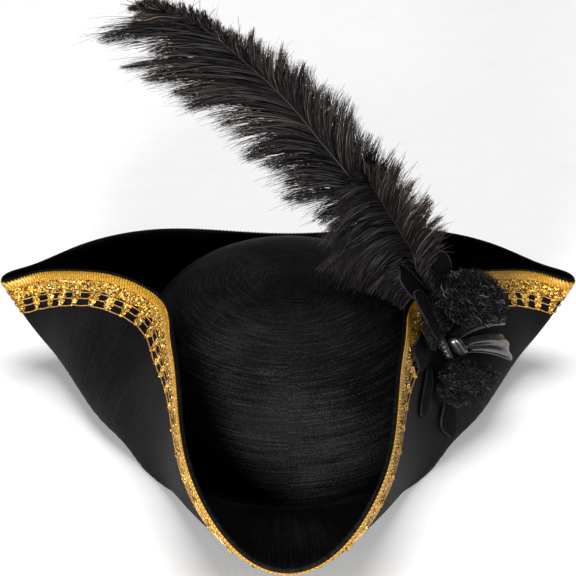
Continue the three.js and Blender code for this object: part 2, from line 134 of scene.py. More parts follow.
def mix(a: Array | float, b: Array | float, share: Array | float) -> Array:
    """The value at a share of the way from a to b."""
    return a + (b - a) * share


def columns(table: Array, names: tuple[str, ...]) -> dict[str, Array]:
    """A table's columns by name."""
    return {name: table[..., i] for i, name in enumerate(names)}


def smooth_random(rng: np.random.Generator, count: int, cells: int) -> Array:
    """A random curve of count values between -1 and 1 that closes on itself.

    Args:
        rng: The seeded source.
        count: How many values.
        cells: How many random values the curve passes near.

    Returns:
        The values.
    """
    knots = rng.uniform(-1, 1, cells)
    place = np.arange(count) * cells / count
    i = np.floor(place).astype(int)
    f = place - i
    f = f * f * (3 - 2 * f)
    return mix(knots[i % cells], knots[(i + 1) % cells], f)


# Meshes


@dataclass
class Geometry:
    """Points and faces that become one mesh.

    points is (n, 3) in millimetres about the crown's axis. quads and triangles hold point numbers.
    corner_uv holds a pair for each corner, quads first, and values holds named point attributes.
    """

    points: Array
    quads: Array
    triangles: Array | None = None
    corner_uv: Array | None = None
    values: dict[str, Array] | None = None
    smooth: bool = True


def grid_faces(rows: int, cols: int, wrap_rows: bool = False, wrap_cols: bool = False) -> Array:
    """The quads of a grid of points numbered row by row.

    Args:
        rows: Number of rows.
        cols: Number of points in a row.
        wrap_rows: The last row joins the first.
        wrap_cols: The last point of a row joins its first.

    Returns:
        An (m, 4) array of point numbers.
    """
    r = np.arange(rows if wrap_rows else rows - 1)[:, None]
    c = np.arange(cols if wrap_cols else cols - 1)[None, :]
    r2, c2 = (r + 1) % rows, (c + 1) % cols
    corners = [r * cols + c, r2 * cols + c, r2 * cols + c2, r * cols + c2]
    return np.stack(corners, axis=-1).reshape(-1, 4)


def grid_uv(u: Array, v: Array, wrap_cols: bool, length: float) -> Array:
    """Corner coordinates of a grid whose u runs along the rows.

    Args:
        u: (rows, cols) place along the row in millimetres.
        v: (rows, cols) place across the rows in millimetres.
        wrap_cols: The last point of a row joins its first.
        length: The whole length of a closed row.

    Returns:
        An (m * 4, 2) array in metres, in the order of grid_faces.
    """
    if wrap_cols:
        u = np.concatenate([u, u[:, :1] + length], axis=1)
        v = np.concatenate([v, v[:, :1]], axis=1)
    both = np.stack([u, v], axis=-1)
    corners = [both[:-1, :-1], both[1:, :-1], both[1:, 1:], both[:-1, 1:]]
    return np.stack(corners, axis=-2).reshape(-1, 2) * MM


def repeated(quads: Array, points_each: int, count: int) -> Array:
    """The same small grid's faces for many copies whose points follow one another."""
    return (quads[None] + (np.arange(count) * points_each)[:, None, None]).reshape(-1, 4)


def joined(parts: list[Geometry]) -> Geometry:
    """Several geometries without UV as one.

    Args:
        parts: Geometries that hold the same named values.

    Returns:
        One geometry with all their points, faces and values.
    """
    starts = np.cumsum([0] + [len(p.points) for p in parts[:-1]])
    names = set(parts[0].values or {})
    return Geometry(
        points=np.concatenate([p.points for p in parts]),
        quads=np.concatenate([p.quads + s for p, s in zip(parts, starts)]),
        values={n: np.concatenate([p.values[n] for p in parts]) for n in names},
        smooth=parts[0].smooth,
    )


def make_piece(
    name: str, shape: Geometry, material: bpy.types.Material
) -> bpy.types.Object:
    """Makes a mesh object from a geometry, and lets it ride on the hat.

    Args:
        name: The piece's name.
        shape: Its points and faces.
        material: Its material.

    Returns:
        The object, at the origin and with its place in its mesh.
    """
    mesh = bpy.data.meshes.new(name)
    points = shape.points.reshape(-1, 3) * MM
    points = points + np.array([0.0, HatSizes().axis_y * MM, 0.0])
    quads = shape.quads.reshape(-1, 4)
    triangles = np.zeros((0, 3), int) if shape.triangles is None else shape.triangles
    mesh.vertices.add(len(points))
    mesh.vertices.foreach_set("co", points.astype(np.float32).ravel())
    mesh.loops.add(quads.size + triangles.size)
    mesh.loops.foreach_set("vertex_index", np.concatenate([quads.ravel(), triangles.ravel()]))
    mesh.polygons.add(len(quads) + len(triangles))
    starts = np.concatenate(
        [np.arange(len(quads)) * 4, quads.size + np.arange(len(triangles)) * 3]
    )
    mesh.polygons.foreach_set("loop_start", starts)
    mesh.update(calc_edges=True)
    smooth = np.full(len(mesh.polygons), shape.smooth)
    mesh.polygons.foreach_set("use_smooth", smooth)
    if shape.corner_uv is not None:
        layer = mesh.uv_layers.new(name="Cloth")
        layer.data.foreach_set("uv", shape.corner_uv.astype(np.float32).ravel())
    for key, numbers in (shape.values or {}).items():
        attribute = mesh.attributes.new(key, "FLOAT", "POINT")
        attribute.data.foreach_set("value", numbers.astype(np.float32).ravel())
    mesh.materials.append(material)
    piece = bpy.data.objects.new(name, mesh)
    bpy.context.scene.collection.objects.link(piece)
    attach(piece, "root")
    LOG.info("%s: %d triangles", name, 2 * len(quads) + len(triangles))
    return piece


# Finishes


def linear(hex_colour: str) -> tuple[float, float, float, float]:
    """The linear colour of an sRGB hex code such as #F0AE2E.

    Args:
        hex_colour: The code, with its # first.

    Returns:
        Red, green and blue from 0 to 1, and an alpha of one.
    """
    parts = [int(hex_colour[i : i + 2], 16) / 255 for i in (1, 3, 5)]
    made = [p / 12.92 if p <= 0.04045 else ((p + 0.055) / 1.055) ** 2.4 for p in parts]
    return (*made, 1.0)


def per_metre(cell_mm: float) -> float:
    """A texture's scale whose cells are so many millimetres across."""
    return 1000 / cell_mm


def add(
    tree: bpy.types.NodeTree, kind: str, inputs: dict | None = None, **settings: object
) -> bpy.types.Node:
    """Adds one node, sets it and joins it.

    Args:
        tree: The material's node tree.
        kind: The node's type without its ShaderNode start.
        inputs: By the input's name or number, a value to set, or a node or an output to join.
        **settings: The node's own settings. stops gives a colour ramp's places and hex colours.

    Returns:
        The node.
    """
    node = tree.nodes.new("ShaderNode" + kind)
    stops = settings.pop("stops", ())
    for key, value in settings.items():
        setattr(node, key, value)
    for place, _ in stops[1:-1]:
        node.color_ramp.elements.new(place)
    for n, (place, colour) in enumerate(stops):
        element = node.color_ramp.elements[n if n < len(stops) - 1 else -1]
        element.position, element.color = place, linear(colour)
    for key, value in (inputs or {}).items():
        source = value.outputs[0] if isinstance(value, bpy.types.Node) else value
        if isinstance(source, bpy.types.NodeSocket):
            tree.links.new(source, node.inputs[key])
        else:
            node.inputs[key].default_value = source
    return node


@dataclass(frozen=True)
class Finish:
    """A real material's finish. Each kind of finish lays out its own nodes in dress."""

    name: str

    def material(self) -> bpy.types.Material:
        """Makes the material with one shader and its nodes.

        Returns:
            The material, with the finish's name.
        """
        made = bpy.data.materials.new(self.name)
        made.use_nodes = True
        tree = made.node_tree
        tree.nodes.clear()
        shader = add(tree, "BsdfPrincipled", self.dress(tree))
        add(tree, "OutputMaterial", {"Surface": shader})
        return made

    def dress(self, tree: bpy.types.NodeTree) -> dict:
        """Adds the finish's nodes and returns the shader's inputs."""
        raise NotImplementedError


@dataclass(frozen=True)
class WoolFelt(Finish):
    """Black wool felt, blocked and brushed.

    The nap lies round the crown and down the brim, so it shows as fine streaks that way. It takes
    light softly: hardly any gloss, and a grey bloom where the hairs stand up. The brim's colour
    is mixed halfway towards a near black: painted shade that makes the brim darker than the crown.
    """

    name: str = "black_wool_felt"
    dark: str = "#010101"
    middle: str = "#080808"
    pale: str = "#232224"
    # The near black that is painted over the brim as shade.
    brim_painted_shade: str = "#020202"
    hair_mm: float = 1.15
    hair_length_mm: float = 70.0
    fleck_mm: float = 0.6
    patch_mm: float = 45.0

    def dress(self, tree: bpy.types.NodeTree) -> dict:
        """Streaks along the nap, flecks and large worn patches.

        Args:
            tree: The material's node tree.

        Returns:
            The shader's inputs by name.
        """
        cloth = add(tree, "UVMap", uv_map="Cloth")
        place = add(tree, "TexCoord").outputs["Object"]
        long, fine = per_metre(self.hair_length_mm), per_metre(self.hair_mm)
        streaks = []
        for scale in ((long, fine, 1.0), (fine, long, 1.0)):
            way = add(tree, "Mapping", {"Vector": cloth, "Scale": scale})
            hair = {"Vector": way, "Scale": 1.0, "Detail": 4.0, "Roughness": 0.65}
            streaks.append(add(tree, "TexNoise", hair))
        on_brim = add(tree, "Attribute", attribute_name="on_brim").outputs["Fac"]
        streak = add(tree, "Mix", {0: on_brim, 2: streaks[0], 3: streaks[1]})
        size = per_metre(self.fleck_mm)
        speck = {"Vector": place, "Scale": size, "Detail": 2.0, "Roughness": 0.7}
        fleck = add(tree, "TexNoise", speck)
        nap = add(tree, "Mix", {0: 0.56, 2: streak, 3: fleck})
        wear = {"Vector": place, "Scale": per_metre(self.patch_mm), "Detail": 2.0}
        patch = add(tree, "TexNoise", wear)
        uneven = add(tree, "Mix", {0: 0.22, 2: nap, 3: patch})
        stops = ((0.42, self.dark), (0.5, self.middle), (0.6, self.pale))
        colour = add(tree, "ValToRGB", {"Fac": uneven}, stops=stops)
        # Painted shade: the brim's colour is mixed halfway towards a near black, so the brim reads
        # darker than the crown.
        flat = add(tree, "MapRange", {"Value": on_brim, "To Max": 0.5})
        laid = {0: flat, 6: colour.outputs["Color"], 7: linear(self.brim_painted_shade)}
        depth = {"Height": nap, "Distance": 0.35 * MM, "Strength": 0.9}
        return {
            "Base Color": add(tree, "Mix", laid, data_type="RGBA").outputs[2],
            "Roughness": 0.54,
            "Specular IOR Level": 0.035,
            "Sheen Weight": 0.002,
            "Sheen Roughness": 0.45,
            "Sheen Tint": linear("#C9C7CB"),
            "Normal": add(tree, "Bump", depth).outputs["Normal"],
        }


@dataclass(frozen=True)
class SatinBraid(Finish):
    """Golden yellow satin braid: glossy threads that slant over a cord, with painted shade between
    them.
    """

    name: str = "gold_satin_braid"
    thread_mm: float = 0.45

    def dress(self, tree: bpy.types.NodeTree) -> dict:
        """Fine threads along the ridges, and painted shade, a deep amber, in the grooves between
        them.

        Args:
            tree: The material's node tree.

        Returns:
            The shader's inputs by name.
        """
        cloth = add(tree, "UVMap", uv_map="Cloth")
        fine = per_metre(self.thread_mm)
        way = add(tree, "Mapping", {"Vector": cloth, "Scale": (fine, fine / 5, 1.0)})
        threads = add(tree, "TexNoise", {"Vector": way, "Scale": 1.0, "Detail": 2.0})
        stops = ((0.3, "#6C4707"), (0.48, "#AC7A12"), (0.7, "#E0B032"))
        colour = add(tree, "ValToRGB", {"Fac": threads}, stops=stops)
        # Painted shade: in the grooves the threads' colour is mixed towards a deep amber.
        groove = add(tree, "Attribute", attribute_name="groove").outputs["Fac"]
        shaded = {0: groove, 6: colour.outputs["Color"], 7: linear("#3C1D02")}
        depth = {"Height": threads, "Distance": 0.12 * MM}
        return {
            "Base Color": add(tree, "Mix", shaded, data_type="RGBA").outputs[2],
            "Metallic": 0.3,
            "Roughness": 0.4,
            "Normal": add(tree, "Bump", depth).outputs["Normal"],
        }


@dataclass(frozen=True)
class MetallicThread(Finish):
    """Crumpled gold metallic thread: each flat fold glints gold, amber or a little red or green."""

    name: str = "gold_metallic_thread"
    fold_mm: float = 0.9

    def dress(self, tree: bpy.types.NodeTree) -> dict:
        """One colour for each small fold, and a rough, uneven surface.

        Args:
            tree: The material's node tree.

        Returns:
            The shader's inputs by name.
        """
        place = add(tree, "TexCoord").outputs["Object"]
        folds = add(tree, "TexVoronoi", {"Vector": place, "Scale": per_metre(self.fold_mm)})
        pick = add(tree, "SeparateColor", {"Color": folds.outputs["Color"]})
        stops = (
            (0.0, "#160B05"),
            (0.15, "#6E2A1C"),
            (0.27, "#6E420C"),
            (0.46, "#B0780F"),
            (0.6, "#8E8430"),
            (0.7, "#DBA22C"),
            (0.87, "#F6D272"),
            (0.94, "#6E7A36"),
            (1.0, "#FFEFBC"),
        )
        grain = add(tree, "TexNoise", {"Vector": place, "Scale": per_metre(0.4), "Detail": 2.0})
        depth = {"Height": grain, "Distance": 0.3 * MM}
        return {
            "Base Color": add(tree, "ValToRGB", {"Fac": pick}, stops=stops),
            "Metallic": 0.7,
            "Roughness": 0.36,
            "Normal": add(tree, "Bump", depth).outputs["Normal"],
        }


@dataclass(frozen=True)
class GoldCord(Finish):
    """Thin pale gold cord, with painted light and shade for the light and dark turns of its plies.
    """

    name: str = "pale_gold_cord"
    turn_mm: float = 0.6

    def dress(self, tree: bpy.types.NodeTree) -> dict:
        """A fine noise that makes small bumps and the painted light and shade of the cord's turns.

        Args:
            tree: The material's node tree.

        Returns:
            The shader's inputs by name.
        """
        place = add(tree, "TexCoord").outputs["Object"]
        # Painted light and shade: the noise moves the colour between dark brown and pale gold.
        turns_bump_and_shade = add(tree, "TexNoise", {"Vector": place, "Scale": per_metre(self.turn_mm)})
        stops = ((0.3, "#6E481E"), (0.55, "#B98A48"), (0.75, "#E6C88C"))
        return {
            "Base Color": add(tree, "ValToRGB", {"Fac": turns_bump_and_shade}, stops=stops),
            "Metallic": 0.3,
            "Roughness": 0.45,
            "Normal": add(tree, "Bump", {"Height": turns_bump_and_shade, "Distance": 0.08 * MM}).outputs["Normal"],
        }


@dataclass(frozen=True)
class OstrichBarb(Finish):
    """Black dyed ostrich barbs, near black to brown-grey by each barb's shade: a random tone
    together with painted shade.
    """

    name: str = "black_ostrich_barb"

    def dress(self, tree: bpy.types.NodeTree) -> dict:
        """A colour from each barb's own shade.

        Args:
            tree: The material's node tree.

        Returns:
            The shader's inputs by name.
        """
        shade = add(tree, "Attribute", attribute_name="shade").outputs["Fac"]
        stops = ((0.0, "#030202"), (0.35, "#100D0D"), (0.7, "#403834"), (1.0, "#827468"))
        return {
            "Base Color": add(tree, "ValToRGB", {"Fac": shade}, stops=stops),
            "Roughness": 0.5,
            "Specular IOR Level": 0.1,
        }


@dataclass(frozen=True)
class Quill(Finish):
    """The plumes' dyed quills: dark horn with a dull shine and a fine grain along them."""

    name: str = "dark_dyed_quill"
    grain_mm: float = 1.2

    def dress(self, tree: bpy.types.NodeTree) -> dict:
        """A brown-black grain.

        Args:
            tree: The material's node tree.

        Returns:
            The shader's inputs by name.
        """
        place = add(tree, "TexCoord").outputs["Object"]
        grain = add(tree, "TexNoise", {"Vector": place, "Scale": per_metre(self.grain_mm)})
        stops = ((0.3, "#050404"), (0.7, "#161211"))
        return {
            "Base Color": add(tree, "ValToRGB", {"Fac": grain}, stops=stops),
            "Roughness": 0.5,
            "Specular IOR Level": 0.15,
            "Normal": add(tree, "Bump", {"Height": grain, "Distance": 0.1 * MM}).outputs["Normal"],
        }


@dataclass(frozen=True)
class StiffCloth(Finish):
    """Black cotton over stiff card: a dead matt face, with a painted highlight along its rounded
    rim.
    """

    name: str = "black_stiff_cloth"
    weave_mm: float = 0.45
    vein_mm: float = 1.6

    def dress(self, tree: bpy.types.NodeTree) -> dict:
        """A weave, faint veins along the leaf, and a paler colour on the rim that is a painted
        highlight.

        Args:
            tree: The material's node tree.

        Returns:
            The shader's inputs by name.
        """
        place = add(tree, "TexCoord").outputs["Object"]
        weave = add(tree, "TexNoise", {"Vector": place, "Scale": per_metre(self.weave_mm)})
        vein = add(tree, "TexNoise", {"Vector": place, "Scale": per_metre(self.vein_mm)})
        both = add(tree, "Mix", {0: 0.5, 2: weave, 3: vein})
        face = add(tree, "ValToRGB", {"Fac": both}, stops=((0.35, "#020202"), (0.65, "#0C0B0D")))
        # Painted highlight: a paler grey on the pad's rim and tip.
        edge = add(tree, "ValToRGB", {"Fac": both}, stops=((0.35, "#151416"), (0.65, "#39363B")))
        rim = add(tree, "Attribute", attribute_name="rim").outputs["Fac"]
        shades = {0: rim, 6: face.outputs["Color"], 7: edge.outputs["Color"]}
        return {
            "Base Color": add(tree, "Mix", shades, data_type="RGBA").outputs[2],
            "Roughness": 0.8,
            "Specular IOR Level": 0.04,
            "Normal": add(tree, "Bump", {"Height": weave, "Distance": 0.1 * MM}).outputs["Normal"],
        }


@dataclass(frozen=True)
class NylonNet(Finish):
    """Crinkled black nylon net: deep threads are lost in black, and raised ones glint."""

    name: str = "black_nylon_net"

    def dress(self, tree: bpy.types.NodeTree) -> dict:
        """A colour from each thread's own shade.

        Args:
            tree: The material's node tree.

        Returns:
            The shader's inputs by name.
        """
        shade = add(tree, "Attribute", attribute_name="shade").outputs["Fac"]
        stops = ((0.0, "#010101"), (0.5, "#070607"), (0.85, "#28262A"), (1.0, "#57545B"))
        return {
            "Base Color": add(tree, "ValToRGB", {"Fac": shade}, stops=stops),
            "Roughness": 0.36,
            "Specular IOR Level": 0.16,
        }


@dataclass(frozen=True)
class GlitterNet(Finish):
    """Black net with fine silver glitter, of which a few grains catch the light at a time."""

    name: str = "silver_glitter_net"
    grain_mm: float = 0.6

    def dress(self, tree: bpy.types.NodeTree) -> dict:
        """Cells of which some are silver.

        Args:
            tree: The material's node tree.

        Returns:
            The shader's inputs by name.
        """
        place = add(tree, "TexCoord").outputs["Object"]
        cells = add(tree, "TexVoronoi", {"Vector": place, "Scale": per_metre(self.grain_mm)})
        pick = add(tree, "SeparateColor", {"Color": cells.outputs["Color"]}).outputs[1]
        stops = ((0.0, "#070708"), (0.7, "#141417"), (0.82, "#55565C"), (1.0, "#8C8E96"))
        shine = {"Value": pick, "From Min": 0.7, "From Max": 0.8, "To Max": 0.8}
        return {
            "Base Color": add(tree, "ValToRGB", {"Fac": pick}, stops=stops),
            "Metallic": add(tree, "MapRange", shine),
            "Roughness": 0.4,
            "Normal": add(tree, "Bump", {"Height": pick, "Distance": 0.2 * MM}).outputs["Normal"],
        }


@dataclass(frozen=True)
class SatinRibbon(Finish):
    """Black polyester satin ribbon, with long soft highlights over its folds."""

    name: str = "black_satin_ribbon"
    weave_mm: float = 0.5
    crease_mm: float = 7.0

    def dress(self, tree: bpy.types.NodeTree) -> dict:
        """A fine weave and a few soft creases.

        Args:
            tree: The material's node tree.

        Returns:
            The shader's inputs by name.
        """
        place = add(tree, "TexCoord").outputs["Object"]
        weave = add(tree, "TexNoise", {"Vector": place, "Scale": per_metre(self.weave_mm)})
        crease = add(tree, "TexNoise", {"Vector": place, "Scale": per_metre(self.crease_mm)})
        gloss = {"Value": crease, "From Min": 0.3, "From Max": 0.7, "To Min": 0.26, "To Max": 0.36}
        depth = {"Height": crease, "Distance": 0.8 * MM, "Strength": 0.5}
        stops = ((0.3, "#0B0B0C"), (0.7, "#222125"))
        return {
            "Base Color": add(tree, "ValToRGB", {"Fac": weave}, stops=stops),
            "Roughness": add(tree, "MapRange", gloss),
            "Specular IOR Level": 1.0,
            "Anisotropic": 0.4,
            "Normal": add(tree, "Bump", depth).outputs["Normal"],
        }


@dataclass(frozen=True)
class Paper(Finish):
    """The plain white floor: seamless paper with a faint tooth."""

    name: str = "white_paper_floor"
    tooth_mm: float = 20.0

    def dress(self, tree: bpy.types.NodeTree) -> dict:
        """Two near whites.

        Args:
            tree: The material's node tree.

        Returns:
            The shader's inputs by name.
        """
        place = add(tree, "TexCoord").outputs["Object"]
        tooth = add(tree, "TexNoise", {"Vector": place, "Scale": per_metre(self.tooth_mm)})
        stops = ((0.0, "#F8F8F8"), (1.0, "#FEFEFE"))
        return {
            "Base Color": add(tree, "ValToRGB", {"Fac": tooth}, stops=stops),
            "Roughness": 0.95,
            "Specular IOR Level": 0.05,
        }


# The felt's surface


class BrimSurface:
    """The middle surface of the felt over the brim, as a table of points and normals.

    A section leaves the brim's edge, comes near its knee and ends on the flat seat round the
    crown's foot: a cubic curve from edge to seat whose two handles point at the knee. The table has
    one row for each small step round the brim, and one column for each half millimetre down the
    section from the edge.
    """

    STEPS = 60
    DOWN_STEP = 0.5
    DOWN_FROM = -40.0
    DOWN_TO = 121.0
    CURVE_POINTS = 81

    def __init__(self, sizes: HatSizes) -> None:
        """Works the table out from the hat's sizes.

        Args:
            sizes: The felt's sizes.
        """
        self.sizes = sizes
        self.mid_width = sizes.half_width + sizes.half
        self.mid_length = sizes.half_length + sizes.half
        self.rows = np.arange(-2 * self.STEPS, (LOOP_ROWS + 2) * self.STEPS + 1) / self.STEPS
        self.angles, tight, edge, knee = self._sections(self.rows)
        reach_out = sizes.turn_radius + sizes.seat_width
        seat = self.foot(self.angles) + reach_out * self.outward(self.angles)
        seat[:, 2] = sizes.half
        tight = tight[:, None]
        handles = [edge, mix(edge, knee, tight), mix(seat, knee, tight), seat]
        t = np.linspace(0, 1, self.CURVE_POINTS)
        weights = [(1 - t) ** 3, 3 * t * (1 - t) ** 2, 3 * t**2 * (1 - t), t**3]
        curve = sum(w[None, :, None] * h[:, None, :] for w, h in zip(weights, handles))
        steps = np.linalg.norm(np.diff(curve, axis=1), axis=-1)
        length = np.concatenate([np.zeros((len(steps), 1)), np.cumsum(steps, axis=1)], axis=1)
        self.reach = length[:, -1]
        self.down = np.arange(self.DOWN_FROM, self.DOWN_TO, self.DOWN_STEP)
        self.points = np.stack(
            [
                [np.interp(self.down, run, line[:, k]) for k in range(3)]
                for run, line in zip(length, curve)
            ]
        ).transpose(0, 2, 1)
        above = self.down < 0
        start = unit(curve[:, 1] - curve[:, 0])
        self.points[:, above] = edge[:, None] + self.down[above][None, :, None] * start[:, None]
        around = np.gradient(self.points, axis=0)
        inward = np.gradient(self.points, axis=1)
        self.normals = unit(np.cross(inward, around))
        flat = np.linalg.norm(inward, axis=-1) < 0.4 * self.DOWN_STEP
        self.normals[flat] = (0.0, 0.0, 1.0)
        edge_steps = np.linalg.norm(np.diff(edge, axis=0), axis=1)
        walked = np.concatenate([[0.0], np.cumsum(edge_steps)])
        self.walked = walked - np.interp(0.0, self.rows, walked)
        self.loop_length = float(np.interp(LOOP_ROWS, self.rows, self.walked))

    def foot(self, angle: Array) -> Array:
        """The crown's foot at an angle from the front."""
        x, y = -self.mid_width * np.sin(angle), -self.mid_length * np.cos(angle)
        return np.stack([x, y, np.zeros_like(x)], axis=-1)

    def outward(self, angle: Array) -> Array:
        """The level direction away from the crown's wall."""
        x, y = -np.sin(angle) / self.mid_width, -np.cos(angle) / self.mid_length
        return unit(np.stack([x, y, np.zeros_like(x)], axis=-1))

    def alongside(self, angle: Array) -> Array:
        """The level direction along the crown's wall, clockwise from above."""
        x, y = -self.mid_width * np.cos(angle), self.mid_length * np.sin(angle)
        return unit(np.stack([x, y, np.zeros_like(x)], axis=-1))

    def _control_rows(self, k: Array) -> tuple[Array, Array, Array, Array]:
        """Angle, tightness, edge and knee of the whole loop's rows; the right mirrors the left.

        Args:
            k: Whole row numbers, on any turn round the brim.

        Returns:
            Angles in radians, tightness shares, and (n, 3) edge and knee points.
        """
        turn = np.floor_divide(k, LOOP_ROWS)
        i = k - turn * LOOP_ROWS
        is_left = i <= BACK_ROW
        row = columns(SECTIONS[np.where(is_left, i, LOOP_ROWS - i)], SECTION_COLUMNS)
        degrees = np.where(is_left, row["base"], 360 - row["base"]) + 360 * turn
        angle = np.radians(degrees)
        width = self.sizes.brim
        along = self.alongside(angle) * np.where(is_left, 1.0, -1.0)[:, None]
        out = self.outward(angle)
        foot = self.foot(angle)
        edge = foot + (row["out"] * width)[:, None] * out + (row["along"] * width)[:, None] * along
        knee = foot + (row["knee_out"] * width)[:, None] * out
        edge[:, 2] = row["rise"] * width + self.sizes.half
        knee[:, 2] = row["knee_rise"] * width + self.sizes.half
        return angle, row["tight"], edge, knee

    def _sections(self, s: Array) -> tuple[Array, Array, Array, Array]:
        """Angle, tightness, edge and knee at any place, by cubic B-spline weights of four rows.

        Args:
            s: Places round the brim in rows, whole or not.

        Returns:
            Angles in radians, tightness shares, and (n, 3) edge and knee points.
        """
        i = np.floor(s).astype(int)
        t = s - i
        weights = [
            (1 - t) ** 3 / 6,
            (3 * t**3 - 6 * t**2 + 4) / 6,
            (-3 * t**3 + 3 * t**2 + 3 * t + 1) / 6,
            t**3 / 6,
        ]
        angle, tight = np.zeros(len(s)), np.zeros(len(s))
        edge, knee = np.zeros((len(s), 3)), np.zeros((len(s), 3))
        for j, weight in enumerate(weights):
            row_angle, row_tight, row_edge, row_knee = self._control_rows(i - 1 + j)
            angle += weight * row_angle
            tight += weight * row_tight
            edge += weight[:, None] * row_edge
            knee += weight[:, None] * row_knee
        return angle, tight, edge, knee

    def _look_up(self, table: Array, s: Array, down: Array) -> Array:
        """The table's value between its four nearest entries.

        Args:
            table: (rows, downs, 3) points or normals.
            s: Places round the brim in rows.
            down: Distances from the edge in millimetres.

        Returns:
            The values, in the shape of s and down together, with three in the last axis.
        """
        s, down = np.broadcast_arrays(s, down)
        i = np.clip((s - self.rows[0]) * self.STEPS, 0, len(self.rows) - 1.001)
        j = np.clip((down - self.DOWN_FROM) / self.DOWN_STEP, 0, len(self.down) - 1.001)
        i0, j0 = i.astype(int), j.astype(int)
        fi, fj = (i - i0)[..., None], (j - j0)[..., None]
        near = mix(table[i0, j0], table[i0, j0 + 1], fj)
        far = mix(table[i0 + 1, j0], table[i0 + 1, j0 + 1], fj)
        return mix(near, far, fi)

    def at(self, s: Array, down: Array) -> Array:
        """Points of the middle surface, down millimetres from the edge at row s."""
        return self._look_up(self.points, s, down)

    def normal(self, s: Array, down: Array) -> Array:
        """Unit normals on the side that was the brim's upper face."""
        return unit(self._look_up(self.normals, s, down))

    def outer(self, s: Array, down: Array, lift: Array | float) -> Array:
        """Points lift millimetres above the brim's outer face."""
        away = self.sizes.half + np.asarray(lift)
        return self.at(s, down) - self.normal(s, down) * away[..., None]

    def row_at(self, walked: Array) -> Array:
        """The row at a distance round the brim's edge from the front point."""
        return np.interp(walked, self.walked, self.rows)


@dataclass
class FeltBody:
    """Crown, seat and turned-up brim as one closed wall of felt.

    Each ring of the middle surface is offset half the felt's thickness to both sides, and the two
    skins are joined round the brim's edge by a half round.
    """

    brim: BrimSurface
    columns: int = LOOP_ROWS * 15
    crown_rings: int = 44
    inner_crown_rings: int = 22
    turn_rings: int = 6
    brim_rings: int = 28
    edge_rings: int = 5

    # Fine points along the crown's profile, and the share of its length where its top ring lies.
    PROFILE_POINTS = 4001
    TOP_RING = 0.995

    def build(self) -> bpy.types.Object:
        """Makes the felt body and lets it stand for the CAD's.

        Returns:
            The felt's object.
        """
        sizes, brim = self.brim.sizes, self.brim
        s = np.arange(self.columns) * LOOP_ROWS / self.columns
        angle = np.interp(s, brim.rows, brim.angles)
        upper = [self._crown(angle, self.crown_rings), self._turn(angle), self._flaps(s)]
        lower = [self._crown(angle, self.inner_crown_rings), self._turn(angle), self._flaps(s)]
        outside = np.concatenate([p + sizes.half * n for p, n in upper])
        inside = np.concatenate([p - sizes.half * n for p, n in lower])[::-1]
        edge, normal = brim.at(s, np.array(0.0)), brim.normal(s, np.array(0.0))
        beyond = unit(brim.at(s, np.array(0.0)) - brim.at(s, np.array(1.0)))
        turn = np.linspace(0, math.pi, self.edge_rings + 2)[1:-1, None, None]
        rim = edge + sizes.half * (np.cos(turn) * normal + np.sin(turn) * beyond)
        grid = np.concatenate([outside, rim, inside])
        rings = len(grid)
        on_brim = np.zeros(rings)
        first = self.crown_rings + self.turn_rings
        on_brim[first : rings - self.inner_crown_rings - self.turn_rings] = 1.0
        steps = np.linalg.norm(np.diff(grid, axis=0), axis=-1).mean(axis=1)
        v = np.concatenate([[0.0], np.cumsum(steps)])
        u = np.interp(s, brim.rows, brim.walked)
        uv = grid_uv(
            np.broadcast_to(u, (rings, self.columns)),
            np.broadcast_to(v[:, None], (rings, self.columns)),
            wrap_cols=True,
            length=brim.loop_length,
        )
        poles = np.stack([grid[0].mean(axis=0), grid[-1].mean(axis=0)])
        count = rings * self.columns
        i = np.arange(self.columns)
        j = (i + 1) % self.columns
        last = (rings - 1) * self.columns
        top = np.stack([np.full_like(i, count), i, j], axis=1)
        under = np.stack([np.full_like(i, count + 1), last + j, last + i], axis=1)
        cap_uv = np.zeros((2 * self.columns * 3, 2))
        shape = Geometry(
            points=np.concatenate([grid.reshape(-1, 3), poles]),
            quads=grid_faces(rings, self.columns, wrap_cols=True),
            triangles=np.concatenate([top, under]),
            corner_uv=np.concatenate([uv, cap_uv]),
            values={"on_brim": np.concatenate([np.repeat(on_brim, self.columns), [0.0, 0.0]])},
        )
        piece = make_piece("felt_shell", shape, WoolFelt().material())
        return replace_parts(piece, "felt_body")

    def _crown(self, angle: Array, count: int) -> tuple[Array, Array]:
        """Rings of the crown from its top to the foot of its wall, evenly along its profile.

        Args:
            angle: The columns' angles round the crown.
            count: How many rings.

        Returns:
            (count, columns, 3) points and unit normals.
        """
        brim, sizes = self.brim, self.brim.sizes
        wall = sizes.crown_height - sizes.felt - sizes.turn_radius
        share = np.linspace(0, 1, self.PROFILE_POINTS) * math.pi / 2
        power = 2 / sizes.squareness
        inward, height = np.cos(share) ** power, np.sin(share) ** power
        steps = np.hypot(np.diff(inward * brim.mid_width), np.diff(height * wall))
        walked = np.concatenate([[0.0], np.cumsum(steps)])
        stops = np.linspace(walked[-1] * self.TOP_RING, 0, count)
        inward = np.interp(stops, walked, inward)[:, None]
        height = np.interp(stops, walked, height)[:, None]
        points = brim.foot(angle)[None] * inward[..., None]
        points[..., 2] = sizes.half + sizes.turn_radius + wall * height
        normals = brim.outward(angle)[None] * (inward ** (sizes.squareness - 1))[..., None]
        lift = height ** (sizes.squareness - 1) * brim.mid_width / wall
        normals[..., 2] = np.broadcast_to(lift, normals.shape[:2])
        return points, unit(normals)

    def _turn(self, angle: Array) -> tuple[Array, Array]:
        """Rings of the quarter turn from the wall out to the seat.

        Args:
            angle: The columns' angles round the crown.

        Returns:
            (rings, columns, 3) points and unit normals.
        """
        brim, sizes = self.brim, self.brim.sizes
        turn = np.linspace(0, math.pi / 2, self.turn_rings + 1)[1:, None, None]
        out = brim.outward(angle)[None]
        points = brim.foot(angle)[None] + out * sizes.turn_radius * (1 - np.cos(turn))
        points[..., 2] = sizes.half + sizes.turn_radius * (1 - np.sin(turn[..., 0]))
        normals = out * np.cos(turn)
        normals[..., 2] = np.broadcast_to(np.sin(turn[..., 0]), normals.shape[:2])
        return points, normals

